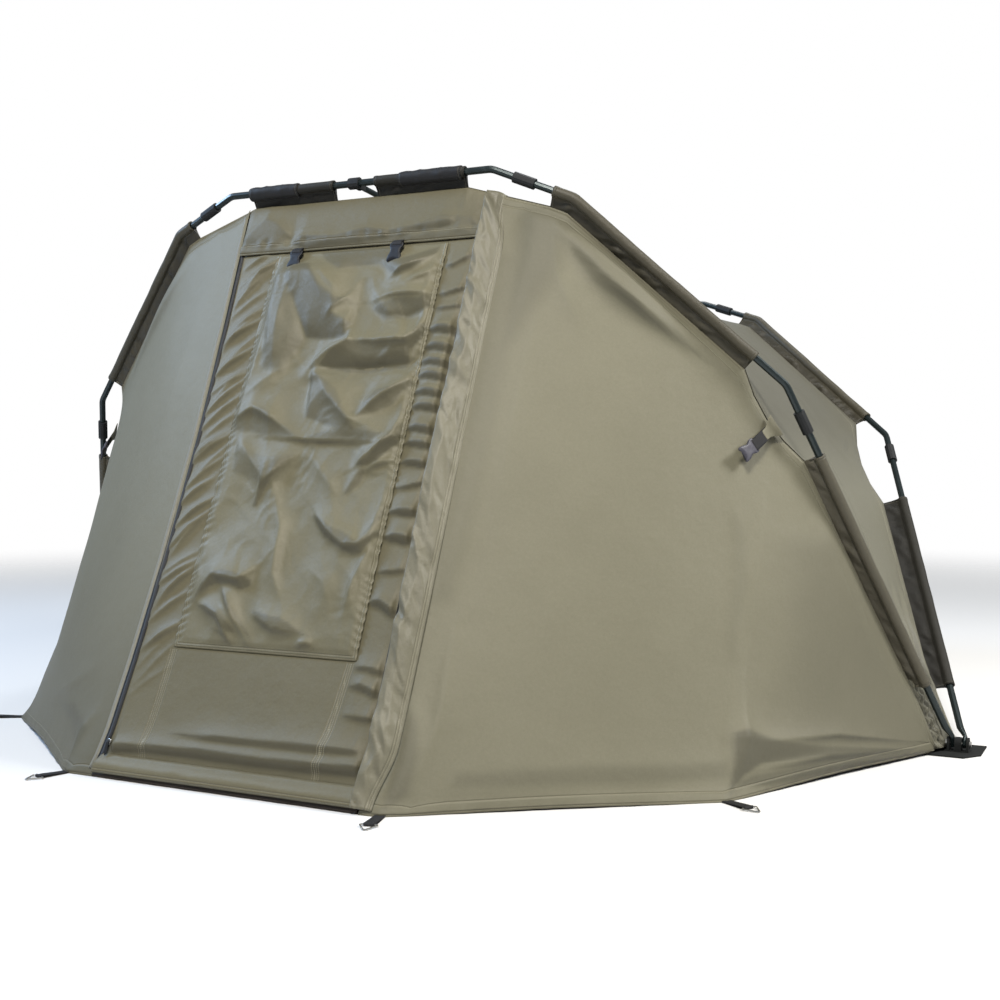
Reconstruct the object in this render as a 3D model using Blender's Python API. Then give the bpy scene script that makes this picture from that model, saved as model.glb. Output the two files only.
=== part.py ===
"""Two-rib bivvy tent: a pram-hood frame of bent poles with a cloth shelter hung inside it.

Metres, +Z up. X runs across the door, -Y is the front, and the origin is on the ground midway
between the two pivot brackets. Right is +X.
"""

import math

import bpy
import bmesh
import numpy as np
from mathutils import Vector

# Driving dimensions of the frame: half widths, and heights measured in each rib's own plane
POLE_RADIUS = 0.0095
BEND_RADIUS = 0.050
PIVOT_HEIGHT = 0.024
FRONT_LEAN = math.radians(-22.4)
FRONT_RIDGE_HALF, FRONT_RIDGE_HEIGHT = 0.416, 1.622
FRONT_SHOULDER_HALF, FRONT_SHOULDER_HEIGHT = 0.631, 1.528
FRONT_HIP_HALF, FRONT_HIP_HEIGHT = 1.124, 1.018
FRONT_BASE_HALF = 1.477
REAR_LEAN = math.radians(38.6)
REAR_RIDGE_HALF, REAR_RIDGE_HEIGHT = 0.433, 1.688
REAR_SHOULDER_HALF, REAR_SHOULDER_HEIGHT = 0.657, 1.590
REAR_HIP_HALF, REAR_HIP_HEIGHT = 1.170, 1.059
POLE_PITCH = 0.030

# Driving dimensions of the ground plan
DOOR_HEM_DEPTH = 1.240
FRONT_CORNER_HALF = 0.4585
SIDE_CORNER_HALF, SIDE_CORNER_DEPTH = 1.098, 0.774
REAR_CORNER_HALF, REAR_HEM_DEPTH = 0.470, 1.3441
REAR_SIDE_HALF, REAR_SIDE_DEPTH = 1.120, 0.850
FOOT_HALF_GAP = 0.050

# Cloth and gaps
CLOTH = 0.0016
GAP = 0.0005
WEB_DEPTH = 0.047
ROOF_SAG = 0.030
ROOF_ROWS = 7

MATERIALS = {
    "cloth": ((0.20, 0.19, 0.125), 0.75, 0.0),
    "dark_cloth": ((0.075, 0.070, 0.045), 0.8, 0.0),
    "hem_cloth": ((0.060, 0.042, 0.030), 0.85, 0.0),
    "webbing": ((0.012, 0.012, 0.013), 0.8, 0.0),
    "pole": ((0.030, 0.042, 0.042), 0.35, 0.6),
    "plastic": ((0.015, 0.017, 0.018), 0.45, 0.0),
    "steel": ((0.50, 0.50, 0.50), 0.3, 1.0),
}


def clear_scene():
    for item in list(bpy.data.objects):
        bpy.data.objects.remove(item, do_unlink=True)


def own_material(item, kind):
    """A Principled material of its own for one piece."""
    colour, roughness, metallic = MATERIALS[kind]
    material = bpy.data.materials.new(item.name)
    material.use_nodes = True
    shader = material.node_tree.nodes["Principled BSDF"]
    shader.inputs["Base Color"].default_value = (*colour, 1.0)
    shader.inputs["Roughness"].default_value = roughness
    shader.inputs["Metallic"].default_value = metallic
    material.diffuse_color = (*colour, 1.0)
    item.data.materials.clear()
    item.data.materials.append(material)


def link(name, mesh, kind=None):
    item = bpy.data.objects.new(name, mesh)
    bpy.context.scene.collection.objects.link(item)
    if kind:
        own_material(item, kind)
    return item


def finish_mesh(name, work, kind, smooth=True):
    """Turns a bmesh into a closed, outward-facing named piece."""
    bmesh.ops.remove_doubles(work, verts=work.verts, dist=POLE_RADIUS / 1e4)
    bmesh.ops.recalc_face_normals(work, faces=work.faces)
    mesh = bpy.data.meshes.new(name)
    work.to_mesh(mesh)
    work.free()
    if smooth:
        mesh.shade_smooth()
        mesh.set_sharp_from_angle(angle=math.radians(35))
    return link(name, mesh, kind)


def cutter(item):
    item.hide_render = True
    item.display_type = "WIRE"
    return item


def boolean(item, other, operation):
    change = item.modifiers.new(operation.title(), "BOOLEAN")
    change.operation = operation
    change.object = cutter(other)


def rounded(corners, radius, steps):
    """The corner points with each inner corner replaced by an arc."""
    path = [corners[0]]
    for before, corner, after in zip(corners, corners[1:], corners[2:]):
        into = (corner - before).normalized()
        out = (after - corner).normalized()
        turn = into.angle(out)
        reach = radius * math.tan(turn / 2)
        centre = corner + (out - into).normalized() * (radius / math.cos(turn / 2))
        start = corner - into * reach - centre
        end = corner + out * reach - centre
        for step in range(steps + 1):
            swung = turn * step / steps
            weights = math.sin(turn - swung), math.sin(swung)
            path.append(centre + (start * weights[0] + end * weights[1]) / math.sin(turn))
    path.append(corners[-1])
    return path


class Rib:
    """One bent frame. Its centre line lies in a plane through the pivot axis, from left to right."""

    def __init__(self, lean, half_corners):
        self.up = Vector((0, math.sin(lean), math.cos(lean)))
        self.front = Vector((0, -math.cos(lean), math.sin(lean)))
        right = [Vector((half, height)) for half, height in half_corners]
        left = [Vector((-corner.x, corner.y)) for corner in reversed(right)]
        self.points = rounded(left + right, BEND_RADIUS, 3)
        steps = [(b - a).length for a, b in zip(self.points, self.points[1:])]
        self.lengths = np.concatenate([[0], np.cumsum(steps)]) - sum(steps) / 2
        self.total = sum(steps) / 2
        bends = [(b - a).length for a, b in zip(right, right[1:])]
        self.ridge_bend = right[0].x
        self.shoulder_bend = self.ridge_bend + bends[0]
        self.hip_bend = self.shoulder_bend + bends[1]

    def centre(self, length):
        """The in-plane point at a signed length from the ridge's middle."""
        x = np.interp(length, self.lengths, [p.x for p in self.points])
        height = np.interp(length, self.lengths, [p.y for p in self.points])
        return Vector((float(x), float(height)))

    def path(self, start, end):
        between = [p for p, at in zip(self.points, self.lengths) if start + GAP < at < end - GAP]
        return [self.centre(start), *between, self.centre(end)]

    def inward(self, length):
        """The in-plane direction into the arch, square to the centre line."""
        along = self.centre(length + POLE_RADIUS) - self.centre(length - POLE_RADIUS)
        along.normalize()
        return Vector((along.y, -along.x))

    def space(self, point, forward=0.0):
        """An in-plane point in space, moved forward out of the rib's plane."""
        base = Vector((point.x, 0, PIVOT_HEIGHT))
        return base + self.up * point.y + self.front * forward

    def seam(self, length, forward):
        """Where the cloth meets this rib, a web's depth inside the pole."""
        return self.space(self.centre(length) + self.inward(length) * (WEB_DEPTH + GAP), forward)

    def seam_inward(self, length):
        inward = self.inward(length)
        return Vector((inward.x, 0, 0)) + self.up * inward.y


def swept(name, rib, path, outer, inner, kind, smooth=True):
    """A hollow section carried along a path in a rib's plane. Profiles hold (inward, forward) pairs."""
    work = bmesh.new()
    rings = []
    for index, point in enumerate(path):
        into = (point - path[max(index - 1, 0)]).normalized() if index else None
        out = (path[index + 1] - point).normalized() if index + 1 < len(path) else None
        into, out = into or out, out or into
        along = (into + out).normalized()
        inward = Vector((along.y, -along.x)) / max(math.cos(into.angle(out) / 2), 0.5)
        rings.append(
            [
                [work.verts.new(rib.space(point + inward * a, b)) for a, b in profile]
                for profile in (outer, inner)
            ]
        )
    count = len(outer)
    for near, far in zip(rings, rings[1:]):
        for skin in (0, 1):
            for k in range(count):
                n = (k + 1) % count
                work.faces.new((near[skin][k], near[skin][n], far[skin][n], far[skin][k]))
    for ring in (rings[0], rings[-1]):
        for k in range(count):
            n = (k + 1) % count
            work.faces.new((ring[0][k], ring[0][n], ring[1][n], ring[1][k]))
    return finish_mesh(name, work, kind, smooth)


def circle(radius, count, start=0.5):
    turns = [math.tau * (k + start) / count for k in range(count)]
    return [(radius * math.cos(turn), radius * math.sin(turn)) for turn in turns]


def tube(name, points, radius, kind, resolution=3, closed=False):
    """A round rod along points in space, as a bevelled curve with filled caps."""
    curve = bpy.data.curves.new(name, "CURVE")
    curve.dimensions = "3D"
    curve.bevel_depth = radius
    curve.bevel_resolution = resolution
    curve.use_fill_caps = not closed
    spline = curve.splines.new("POLY")
    spline.points.add(len(points) - 1)
    for place, point in zip(spline.points, points):
        place.co = (*point, 1.0)
    spline.use_cyclic_u = closed
    spline.use_smooth = True
    return link(name, curve, kind)


def as_mesh(item, kind=None):
    """The same shape as a mesh object, because a Boolean takes no curve."""
    graph = bpy.context.evaluated_depsgraph_get()
    mesh = bpy.data.meshes.new_from_object(item.evaluated_get(graph))
    mesh.materials.clear()
    name = item.name
    bpy.data.objects.remove(item, do_unlink=True)
    return link(name, mesh, kind)


def prism(name, outline, base, across, up, along, depth, kind=None):
    """An outline of (across, up) pairs, extruded by depth along a third direction from a base point."""
    work = bmesh.new()
    near = [work.verts.new(base + across * a + up * b) for a, b in outline]
    far = [work.verts.new(vertex.co + along * depth) for vertex in near]
    work.faces.new(near)
    work.faces.new(list(reversed(far)))
    for k in range(len(near)):
        n = (k + 1) % len(near)
        work.faces.new((near[k], far[k], far[n], near[n]))
    return finish_mesh(name, work, kind)


def shell(name, outer, inward, kind):
    """A thin closed cloth: a grid of outer points, each moved along its own inward vector for the lining."""
    rows, columns = outer.shape[:2]
    work = bmesh.new()
    skins = [
        [[work.verts.new(grid[r, c]) for c in range(columns)] for r in range(rows)]
        for grid in (outer, outer + inward)
    ]
    for skin in skins:
        for r in range(rows - 1):
            for c in range(columns - 1):
                work.faces.new((skin[r][c], skin[r][c + 1], skin[r + 1][c + 1], skin[r + 1][c]))
    loop = [(0, c) for c in range(columns)] + [(r, columns - 1) for r in range(1, rows)]
    loop += [(rows - 1, c) for c in reversed(range(columns - 1))]
    loop += [(r, 0) for r in reversed(range(1, rows - 1))]
    for (r, c), (s, d) in zip(loop, loop[1:] + loop[:1]):
        work.faces.new((skins[0][r][c], skins[0][s][d], skins[1][s][d], skins[1][r][c]))
    bmesh.ops.remove_doubles(work, verts=work.verts, dist=GAP / 10)
    bmesh.ops.dissolve_degenerate(work, edges=work.edges, dist=GAP / 10)
    return finish_mesh(name, work, kind)


def unit(vectors):
    return vectors / np.linalg.norm(vectors, axis=-1, keepdims=True)


def blended(low, high, low_inward, high_inward, rows):
    """Points ruled between two edges, with the lining direction turning from one edge's to the other's."""
    share = np.linspace(0, 1, rows)[:, None, None]
    outer = low * (1 - share) + high * share
    inward = unit(low_inward * (1 - share) + high_inward * share) * CLOTH
    return outer, inward


def spread(keys, counts):
    """Splits each stretch between neighbouring keys into its count of equal steps."""
    parts = [
        np.linspace(a, b, count, endpoint=False) for a, b, count in zip(keys, keys[1:], counts)
    ]
    return np.concatenate([*parts, [keys[-1]]])


def along_line(points, shares, at):
    """Places on a polyline whose points stand at the given shares."""
    points = np.array(points, float)
    return np.stack([np.interp(at, shares, points[:, axis]) for axis in range(3)], axis=-1)


# Where sleeves and collars sit, as lengths along the rib from its bends
RIDGE_COLLAR_PAST_BEND = 0.094
NOTCH_HALF = 0.066
TOP_SLEEVE_BEFORE_BEND = 0.076
SHOULDER_SLEEVE_BEFORE_BEND = 0.057
SHOULDER_SLEEVE_BEFORE_HIP = 0.103
FRONT_HIP_COLLAR_PAST_BEND = 0.106
FRONT_LEG_SLEEVE_PAST_HIP = 0.203
FRONT_LEG_SLEEVE_END = 0.893
REAR_HIP_COLLAR_PAST_BEND = 0.078
REAR_LEG_SLEEVE_PAST_HIP = 0.265
REAR_LEG_SLEEVE_END = 0.930
COLLAR_HALF_LENGTH = 0.030
COLLAR_WALL = 0.0042
COLLAR_CLEARANCE = 0.0008
SLEEVE_WALL = 0.0022
SLEEVE_CLEARANCE = 0.0010
WEB_HALF = 0.0016

front = Rib(
    FRONT_LEAN,
    [
        (FRONT_RIDGE_HALF, FRONT_RIDGE_HEIGHT),
        (FRONT_SHOULDER_HALF, FRONT_SHOULDER_HEIGHT),
        (FRONT_HIP_HALF, FRONT_HIP_HEIGHT),
        (FRONT_BASE_HALF, 0),
    ],
)
rear = Rib(
    REAR_LEAN,
    [
        (REAR_RIDGE_HALF, REAR_RIDGE_HEIGHT),
        (REAR_SHOULDER_HALF, REAR_SHOULDER_HEIGHT),
        (REAR_HIP_HALF, REAR_HIP_HEIGHT),
        (FRONT_BASE_HALF + POLE_PITCH, 0),
    ],
)

# Leg ends and pivot brackets
TANG_THICK = 0.012
TANG_HALF_WIDTH = 0.0085
TANG_TOP = 0.022
LEG_START = 0.050
BOLT_RADIUS = 0.0040
BOLT_CLEARANCE = 0.0005
BOLT_HEAD_RADIUS = 0.0078
BOLT_HEAD_THICK = 0.0050
LUG_RADIUS = 0.0170
LUG_WALL = 0.0060
PLATE_THICK = 0.0040
PLATE_INNER_SETBACK = 0.060
PLATE_OUTER_REACH = 0.075
PLATE_FRONT, PLATE_REAR = 0.075, 0.095


def rounded_lug(radius, foot, count=10):
    """An upright lug outline of (along, up) pairs: round over the axis, square at its foot."""
    turns = [math.pi * k / count for k in range(count + 1)]
    top = [(radius * math.cos(turn), radius * math.sin(turn)) for turn in turns]
    return [(radius, foot), *top, (-radius, foot)]


def leg_pole(name, rib, base_half, side, hip_collar):
    """A straight leg whose foot is pressed flat round a bolt hole."""
    work = bmesh.new()
    section = circle(POLE_RADIUS, 10)
    rings = []
    for length in (hip_collar + GAP, rib.total - LEG_START):
        centre, inward = rib.centre(length), rib.inward(length)
        rings.append([rib.space(centre + inward * a, b) for a, b in section])
    flat_share = TANG_THICK / 2 / POLE_RADIUS
    for height in (TANG_TOP, -TANG_HALF_WIDTH):
        rings.append([rib.space(Vector((base_half - a * flat_share, height)), b) for a, b in section])
    rings = [[work.verts.new((side * p.x, p.y, p.z)) for p in ring] for ring in rings]
    for near, far in zip(rings, rings[1:]):
        for k in range(len(section)):
            n = (k + 1) % len(section)
            work.faces.new((near[k], near[n], far[n], far[k]))
    work.faces.new(rings[0])
    work.faces.new(rings[-1])
    pole = finish_mesh(name, work, "pole")
    start = Vector((side * (base_half - TANG_THICK), 0, PIVOT_HEIGHT))
    stop = Vector((side * (base_half + TANG_THICK), 0, PIVOT_HEIGHT))
    hole = tube(name + "_hole", [start, stop], BOLT_RADIUS + BOLT_CLEARANCE, None, resolution=6)
    boolean(pole, as_mesh(hole), "DIFFERENCE")


def frame_poles(label, rib, base_half, hip_collar_past_bend):
    """Five poles, joined by four collars."""
    ridge_collar = rib.ridge_bend + RIDGE_COLLAR_PAST_BEND
    hip_collar = rib.hip_bend + hip_collar_past_bend
    top = rib.path(-ridge_collar + GAP, ridge_collar - GAP)
    tube(label + "_top_pole", [rib.space(p) for p in top], POLE_RADIUS, "pole")
    for side, word in ((-1, "left"), (1, "right")):
        start, stop = sorted((side * (ridge_collar + GAP), side * (hip_collar - GAP)))
        middle = [rib.space(p) for p in rib.path(start, stop)]
        tube(f"{label}_shoulder_pole_{word}", middle, POLE_RADIUS, "pole")
        leg_pole(f"{label}_leg_pole_{word}", rib, base_half, side, hip_collar)
        inner = circle(POLE_RADIUS + COLLAR_CLEARANCE, 12)
        outer = circle(POLE_RADIUS + COLLAR_CLEARANCE + COLLAR_WALL, 12)
        for place, at in (("ridge", ridge_collar), ("hip", hip_collar)):
            ends = sorted((side * (at - COLLAR_HALF_LENGTH), side * (at + COLLAR_HALF_LENGTH)))
            swept(f"{label}_{place}_collar_{word}", rib, rib.path(*ends), outer, inner, "plastic")


def sleeve_profiles():
    """Outer teardrop and inner bore of a pole sleeve, twelve matched points each."""
    bore = POLE_RADIUS + SLEEVE_CLEARANCE
    inner = circle(bore, 12)
    outer = circle(bore + SLEEVE_WALL, 12)
    root = bore + SLEEVE_WALL
    outer[0], outer[-1] = (WEB_DEPTH, WEB_HALF), (WEB_DEPTH, -WEB_HALF)
    outer[1], outer[-2] = (root, WEB_HALF * 1.5), (root, -WEB_HALF * 1.5)
    return outer, inner


def sleeve(name, rib, start, end, kind="dark_cloth"):
    outer, inner = sleeve_profiles()
    return swept(name, rib, rib.path(*sorted((start, end))), outer, inner, kind)


def sleeves():
    top_end = front.ridge_bend - TOP_SLEEVE_BEFORE_BEND
    rear_top = rear.ridge_bend - TOP_SLEEVE_BEFORE_BEND
    sleeve("rear_top_sleeve", rear, KNUCKLE_HALF + GAP, rear_top)
    for side, word in ((-1, "left"), (1, "right")):
        sleeve(f"front_top_sleeve_{word}", front, side * NOTCH_HALF, side * top_end, "webbing")
        for label, rib, past, end in (
            ("front", front, FRONT_LEG_SLEEVE_PAST_HIP, FRONT_LEG_SLEEVE_END),
            ("rear", rear, REAR_LEG_SLEEVE_PAST_HIP, REAR_LEG_SLEEVE_END),
        ):
            start = rib.shoulder_bend - SHOULDER_SLEEVE_BEFORE_BEND
            stop = rib.hip_bend - SHOULDER_SLEEVE_BEFORE_HIP
            sleeve(f"{label}_shoulder_sleeve_{word}", rib, side * start, side * stop)
            start, stop = rib.hip_bend + past, rib.hip_bend + end
            sleeve(f"{label}_leg_sleeve_{word}", rib, side * start, side * stop)


def pivot_bracket(word, side):
    """A ground plate with three upright lugs. The two legs' tangs stand between the lugs."""
    front_tang = FRONT_BASE_HALF
    rear_tang = FRONT_BASE_HALF + POLE_PITCH
    inner_edge = FRONT_BASE_HALF - PLATE_INNER_SETBACK
    outer_edge = FRONT_BASE_HALF + PLATE_OUTER_REACH
    across = Vector((side, 0, 0))
    outline = [
        (inner_edge, -PLATE_FRONT),
        (outer_edge - PLATE_FRONT / 2, -PLATE_FRONT),
        (outer_edge, -PLATE_FRONT / 3),
        (outer_edge, PLATE_REAR),
        (inner_edge + PLATE_FRONT / 2, PLATE_REAR),
        (inner_edge, PLATE_REAR / 2),
    ]
    name = "pivot_bracket_" + word
    up = Vector((0, 0, 1))
    plate = prism(name, outline, Vector(), across, Vector((0, 1, 0)), up, PLATE_THICK, "plastic")
    lugs = (
        (front_tang - TANG_THICK / 2 - GAP - LUG_WALL, front_tang - TANG_THICK / 2 - GAP),
        (front_tang + TANG_THICK / 2 + GAP, rear_tang - TANG_THICK / 2 - GAP),
        (rear_tang + TANG_THICK / 2 + GAP, rear_tang + TANG_THICK / 2 + GAP + LUG_WALL),
    )
    foot = PLATE_THICK / 2 - PIVOT_HEIGHT
    for number, (near, far) in enumerate(lugs):
        base = Vector((side * near, 0, PIVOT_HEIGHT))
        lug = prism(
            f"{name}_lug_{number}",
            rounded_lug(LUG_RADIUS, foot),
            base,
            Vector((0, 1, 0)),
            up,
            across,
            far - near,
        )
        boolean(plate, lug, "UNION")
    start = Vector((side * (lugs[0][0] - LUG_WALL), 0, PIVOT_HEIGHT))
    stop = Vector((side * (lugs[2][1] + LUG_WALL), 0, PIVOT_HEIGHT))
    hole = tube(name + "_hole", [start, stop], BOLT_RADIUS + BOLT_CLEARANCE, None, resolution=6)
    boolean(plate, as_mesh(hole), "DIFFERENCE")
    inner_head = lugs[0][0] - GAP
    outer_head = lugs[2][1] + GAP
    turned(
        "pivot_bolt_" + word,
        [
            (inner_head - BOLT_HEAD_THICK, 0),
            (inner_head - BOLT_HEAD_THICK, BOLT_HEAD_RADIUS),
            (inner_head, BOLT_HEAD_RADIUS),
            (inner_head, BOLT_RADIUS),
            (outer_head, BOLT_RADIUS),
            (outer_head, BOLT_HEAD_RADIUS),
            (outer_head + BOLT_HEAD_THICK, BOLT_HEAD_RADIUS),
            (outer_head + BOLT_HEAD_THICK, 0),
        ],
        side,
        "steel",
    )


def turned(name, profile, side, kind, count=12):
    """A profile of (across, radius) pairs turned round the pivot axis."""
    work = bmesh.new()
    vertices = [work.verts.new((side * x, 0, PIVOT_HEIGHT + r)) for x, r in profile]
    edges = [work.edges.new(pair) for pair in zip(vertices, vertices[1:])]
    bmesh.ops.spin(
        work,
        geom=vertices + edges,
        cent=(0, 0, PIVOT_HEIGHT),
        axis=(1, 0, 0),
        angle=math.tau,
        steps=count,
    )
    return finish_mesh(name, work, kind)


# Ridge knuckles and the tension bar between the two ribs
KNUCKLE_HALF = 0.016
KNUCKLE_WALL = 0.0055
BAR_RADIUS = 0.0080
BAR_PIVOT_REACH = 0.034
BAR_TANG_HALF = 0.0040
CHEEK_WALL = 0.0045
CHEEK_HALF_HEIGHT = 0.0095
CROSS_PIN_RADIUS = 0.0030
BAR_END_GAP = 0.0080
SADDLE_LENGTH = 0.036
SADDLE_WALL = 0.0040


def ridge_frame():
    """The bar's line from the front ridge pole's centre to the rear one's, and the direction over it."""
    start = front.space(front.centre(0))
    end = rear.space(rear.centre(0))
    along = (end - start).normalized()
    over = Vector((1, 0, 0)).cross(along)
    return start, end, along, over


def clamp(name, rib):
    inner = circle(POLE_RADIUS + COLLAR_CLEARANCE, 12)
    outer = circle(POLE_RADIUS + COLLAR_CLEARANCE + KNUCKLE_WALL, 12)
    return swept(name, rib, rib.path(-KNUCKLE_HALF, KNUCKLE_HALF), outer, inner, "plastic")


def knuckles_and_bar():
    start, end, along, over = ridge_frame()
    across = Vector((1, 0, 0))
    pivot = start + along * BAR_PIVOT_REACH
    knuckle = clamp("front_ridge_knuckle", front)
    root = POLE_RADIUS + COLLAR_CLEARANCE + KNUCKLE_WALL / 2
    outline = [(a, b) for a, b in circle(CHEEK_HALF_HEIGHT, 16, 0) if a >= -GAP]
    outline = sorted(outline, key=lambda pair: math.atan2(pair[1], pair[0]))
    outline += [(root - BAR_PIVOT_REACH, CHEEK_HALF_HEIGHT)]
    outline += [(root - BAR_PIVOT_REACH, -CHEEK_HALF_HEIGHT)]
    for side in (-1, 1):
        near = side * (BAR_TANG_HALF + GAP)
        base = pivot + across * min(near, near + side * CHEEK_WALL)
        cheek = prism(f"knuckle_cheek_{side}", outline, base, along, over, across, CHEEK_WALL)
        boolean(knuckle, cheek, "UNION")
    reach = BAR_TANG_HALF + GAP + CHEEK_WALL / 2
    pin = tube(
        "knuckle_pin", [pivot - across * reach, pivot + across * reach], CROSS_PIN_RADIUS, None
    )
    boolean(knuckle, as_mesh(pin), "UNION")

    bar_end = end - along * (POLE_RADIUS + COLLAR_CLEARANCE + KNUCKLE_WALL + BAR_END_GAP)
    tang_length = 2 * CHEEK_HALF_HEIGHT
    bar = tube("tension_bar", [pivot + along * tang_length, bar_end], BAR_RADIUS, None)
    bar = as_mesh(bar, "pole")
    tang_half = BAR_RADIUS - 2 * GAP
    outline = [(a, b) for a, b in circle(tang_half, 16, 0) if a <= GAP]
    outline += [(tang_length * 1.3, -tang_half), (tang_length * 1.3, tang_half)]
    tang = prism(
        "bar_tang",
        outline,
        pivot - across * BAR_TANG_HALF,
        along,
        over,
        across,
        2 * BAR_TANG_HALF,
    )
    boolean(bar, tang, "UNION")
    hole = tube(
        "bar_hole",
        [pivot - across * BAR_RADIUS, pivot + across * BAR_RADIUS],
        CROSS_PIN_RADIUS + GAP,
        None,
        resolution=4,
    )
    boolean(bar, as_mesh(hole), "DIFFERENCE")

    saddle = clamp("rear_ridge_knuckle", rear)
    inner = BAR_RADIUS + GAP
    outer = inner + SADDLE_WALL
    outline = [
        (-outer, -BAR_RADIUS),
        (-outer, outer),
        (outer, outer),
        (outer, -BAR_RADIUS),
        (inner, -BAR_RADIUS),
        (inner, inner),
        (-inner, inner),
        (-inner, -BAR_RADIUS),
    ]
    root = end - along * (POLE_RADIUS + COLLAR_CLEARANCE + KNUCKLE_WALL / 2)
    clip = prism("ridge_clip", outline, root, across, over, -along, SADDLE_LENGTH)
    boolean(saddle, clip, "UNION")


# Door face: one flat slope from the door hem to the ridge seam
ZIP_LEFT, ZIP_RIGHT = -0.341, 0.401
ZIP_HALF_GAP = 0.003
HEADER_HEIGHT = 0.145
THRESHOLD_HEIGHT = 0.030
DOOR_HEM_HEIGHT = 0.026
DOOR_TOP_GAP = 0.0006
WINDOW_LEFT, WINDOW_RIGHT = -0.224, 0.309
WINDOW_BOTTOM, WINDOW_TOP_MARGIN = 0.342, 0.012
SIDE_FOLD_COUNT = 9
SIDE_FOLD_HEIGHT = 0.0060
LOW_FOLD_HEIGHT = 0.0100
COVER_FOLD_HEIGHT = 0.0100
FLAP_LEFT, FLAP_RIGHT = 0.378, 0.452
FLAP_STAND_OFF = 0.0150

RIDGE_SEAM = front.seam(0, GAP / 2)
DOOR_FOOT = Vector((0, -DOOR_HEM_DEPTH, 0))
SLOPE_LENGTH = (Vector((0, RIDGE_SEAM.y, RIDGE_SEAM.z)) - DOOR_FOOT).length
SLOPE = (Vector((0, RIDGE_SEAM.y, RIDGE_SEAM.z)) - DOOR_FOOT).normalized()
SLOPE_OUT = Vector((0, -SLOPE.z, SLOPE.y))
HEADER_BOTTOM = SLOPE_LENGTH - HEADER_HEIGHT


def door_point(x, rise, out=0.0):
    """A point of the door face: across, up the slope and out of it."""
    return DOOR_FOOT + Vector((x, 0, 0)) + SLOPE * rise + SLOPE_OUT * out


def lining_direction(rise):
    """Flat on the ground at the hem, square to the slope above it, and in the rib's plane at the seam."""
    ground = np.array((0.0, 1.0, 0.0))
    square = -np.array(SLOPE_OUT)
    seam = np.array(front.seam_inward(0))
    if rise <= THRESHOLD_HEIGHT:
        share = rise / THRESHOLD_HEIGHT
        return unit(ground * (1 - share) + square * share)
    share = max(0.0, (rise - HEADER_BOTTOM) / HEADER_HEIGHT)
    return unit(square * (1 - share) + seam * share)


def door_sheet(name, across, rises, lift, kind):
    """A cloth on the door face. lift gives how far each point stands out."""
    outer = np.array([[door_point(x, rise, lift(x, rise)) for x in across] for rise in rises])
    inward = np.array([[lining_direction(rise) * CLOTH for x in across] for rise in rises])
    return shell(name, outer, inward, kind)


def flat(x, rise):
    return 0.0


def fade(value, low, high):
    """Nought at and outside both limits, rising to one at the middle."""
    share = min(max((value - low) / (high - low), 0.0), 1.0)
    return math.sin(math.pi * share)


def door_folds(x, rise):
    """Gathers beside the window and two long folds low on the door."""
    low, high = WINDOW_BOTTOM, HEADER_BOTTOM - DOOR_HEM_HEIGHT
    wave = 0.5 - 0.5 * math.cos(math.tau * SIDE_FOLD_COUNT * (rise - low) / (high - low))
    inside = 1.0 if low < rise < high else 0.0
    right = fade(x, WINDOW_RIGHT, FLAP_LEFT)
    left = fade(x, ZIP_LEFT + 2 * ZIP_HALF_GAP, WINDOW_LEFT)
    sides = SIDE_FOLD_HEIGHT * wave * inside * max(right, 0.6 * left)
    across = fade(x, ZIP_LEFT, ZIP_RIGHT)
    start = THRESHOLD_HEIGHT + DOOR_HEM_HEIGHT
    long_wave = abs(math.sin(math.tau * (rise - start) / (WINDOW_BOTTOM / 1.5 - start)))
    low_part = 1.0 if start < rise < WINDOW_BOTTOM / 1.5 else 0.0
    return sides + LOW_FOLD_HEIGHT * long_wave * low_part * across


def cover_folds(x, rise):
    """Slanting folds of the window cover, lying a cloth's thickness over the door."""
    width, height = WINDOW_RIGHT - WINDOW_LEFT, HEADER_BOTTOM - WINDOW_BOTTOM
    across, up = (x - WINDOW_LEFT) / width, (rise - WINDOW_BOTTOM) / height
    border = fade(x, WINDOW_LEFT, WINDOW_RIGHT) * fade(rise, WINDOW_BOTTOM, HEADER_BOTTOM)
    slant = 0.5 + 0.5 * math.sin(math.tau * (2.2 * up + 1.1 * across + 0.2 * math.sin(5 * up)))
    cross = 0.5 + 0.5 * math.sin(math.tau * (1.7 * up - 1.6 * across))
    return CLOTH + GAP + COVER_FOLD_HEIGHT * border * (0.65 * slant + 0.35 * cross)


def door_pieces():
    start = THRESHOLD_HEIGHT + GAP
    left, right = ZIP_LEFT + GAP / 2, ZIP_RIGHT - GAP / 2
    across = np.linspace(left, right, 7)
    door_sheet("threshold_strip", across, [0, THRESHOLD_HEIGHT], flat, "hem_cloth")
    door_sheet("door_hem", across, [start, start + DOOR_HEM_HEIGHT - GAP], flat, "cloth")
    bottom = THRESHOLD_HEIGHT + DOOR_HEM_HEIGHT + GAP
    top = HEADER_BOTTOM - DOOR_TOP_GAP
    columns = [left, *np.linspace(left + ZIP_HALF_GAP, WINDOW_LEFT, 4), WINDOW_LEFT / 2]
    columns += [WINDOW_RIGHT / 2, *np.linspace(WINDOW_RIGHT, FLAP_LEFT, 4), right]
    rises = spread([bottom, WINDOW_BOTTOM / 1.5, WINDOW_BOTTOM], [8, 2])
    rises = np.append(rises[:-1], np.linspace(WINDOW_BOTTOM, top, 2 * SIDE_FOLD_COUNT + 1))
    door_sheet("door_panel", columns, rises, door_folds, "cloth")
    columns = np.linspace(WINDOW_LEFT, WINDOW_RIGHT, 10)
    rises = np.linspace(WINDOW_BOTTOM, top - WINDOW_TOP_MARGIN, 17)
    door_sheet("window_cover", columns, rises, cover_folds, "cloth")


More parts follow.
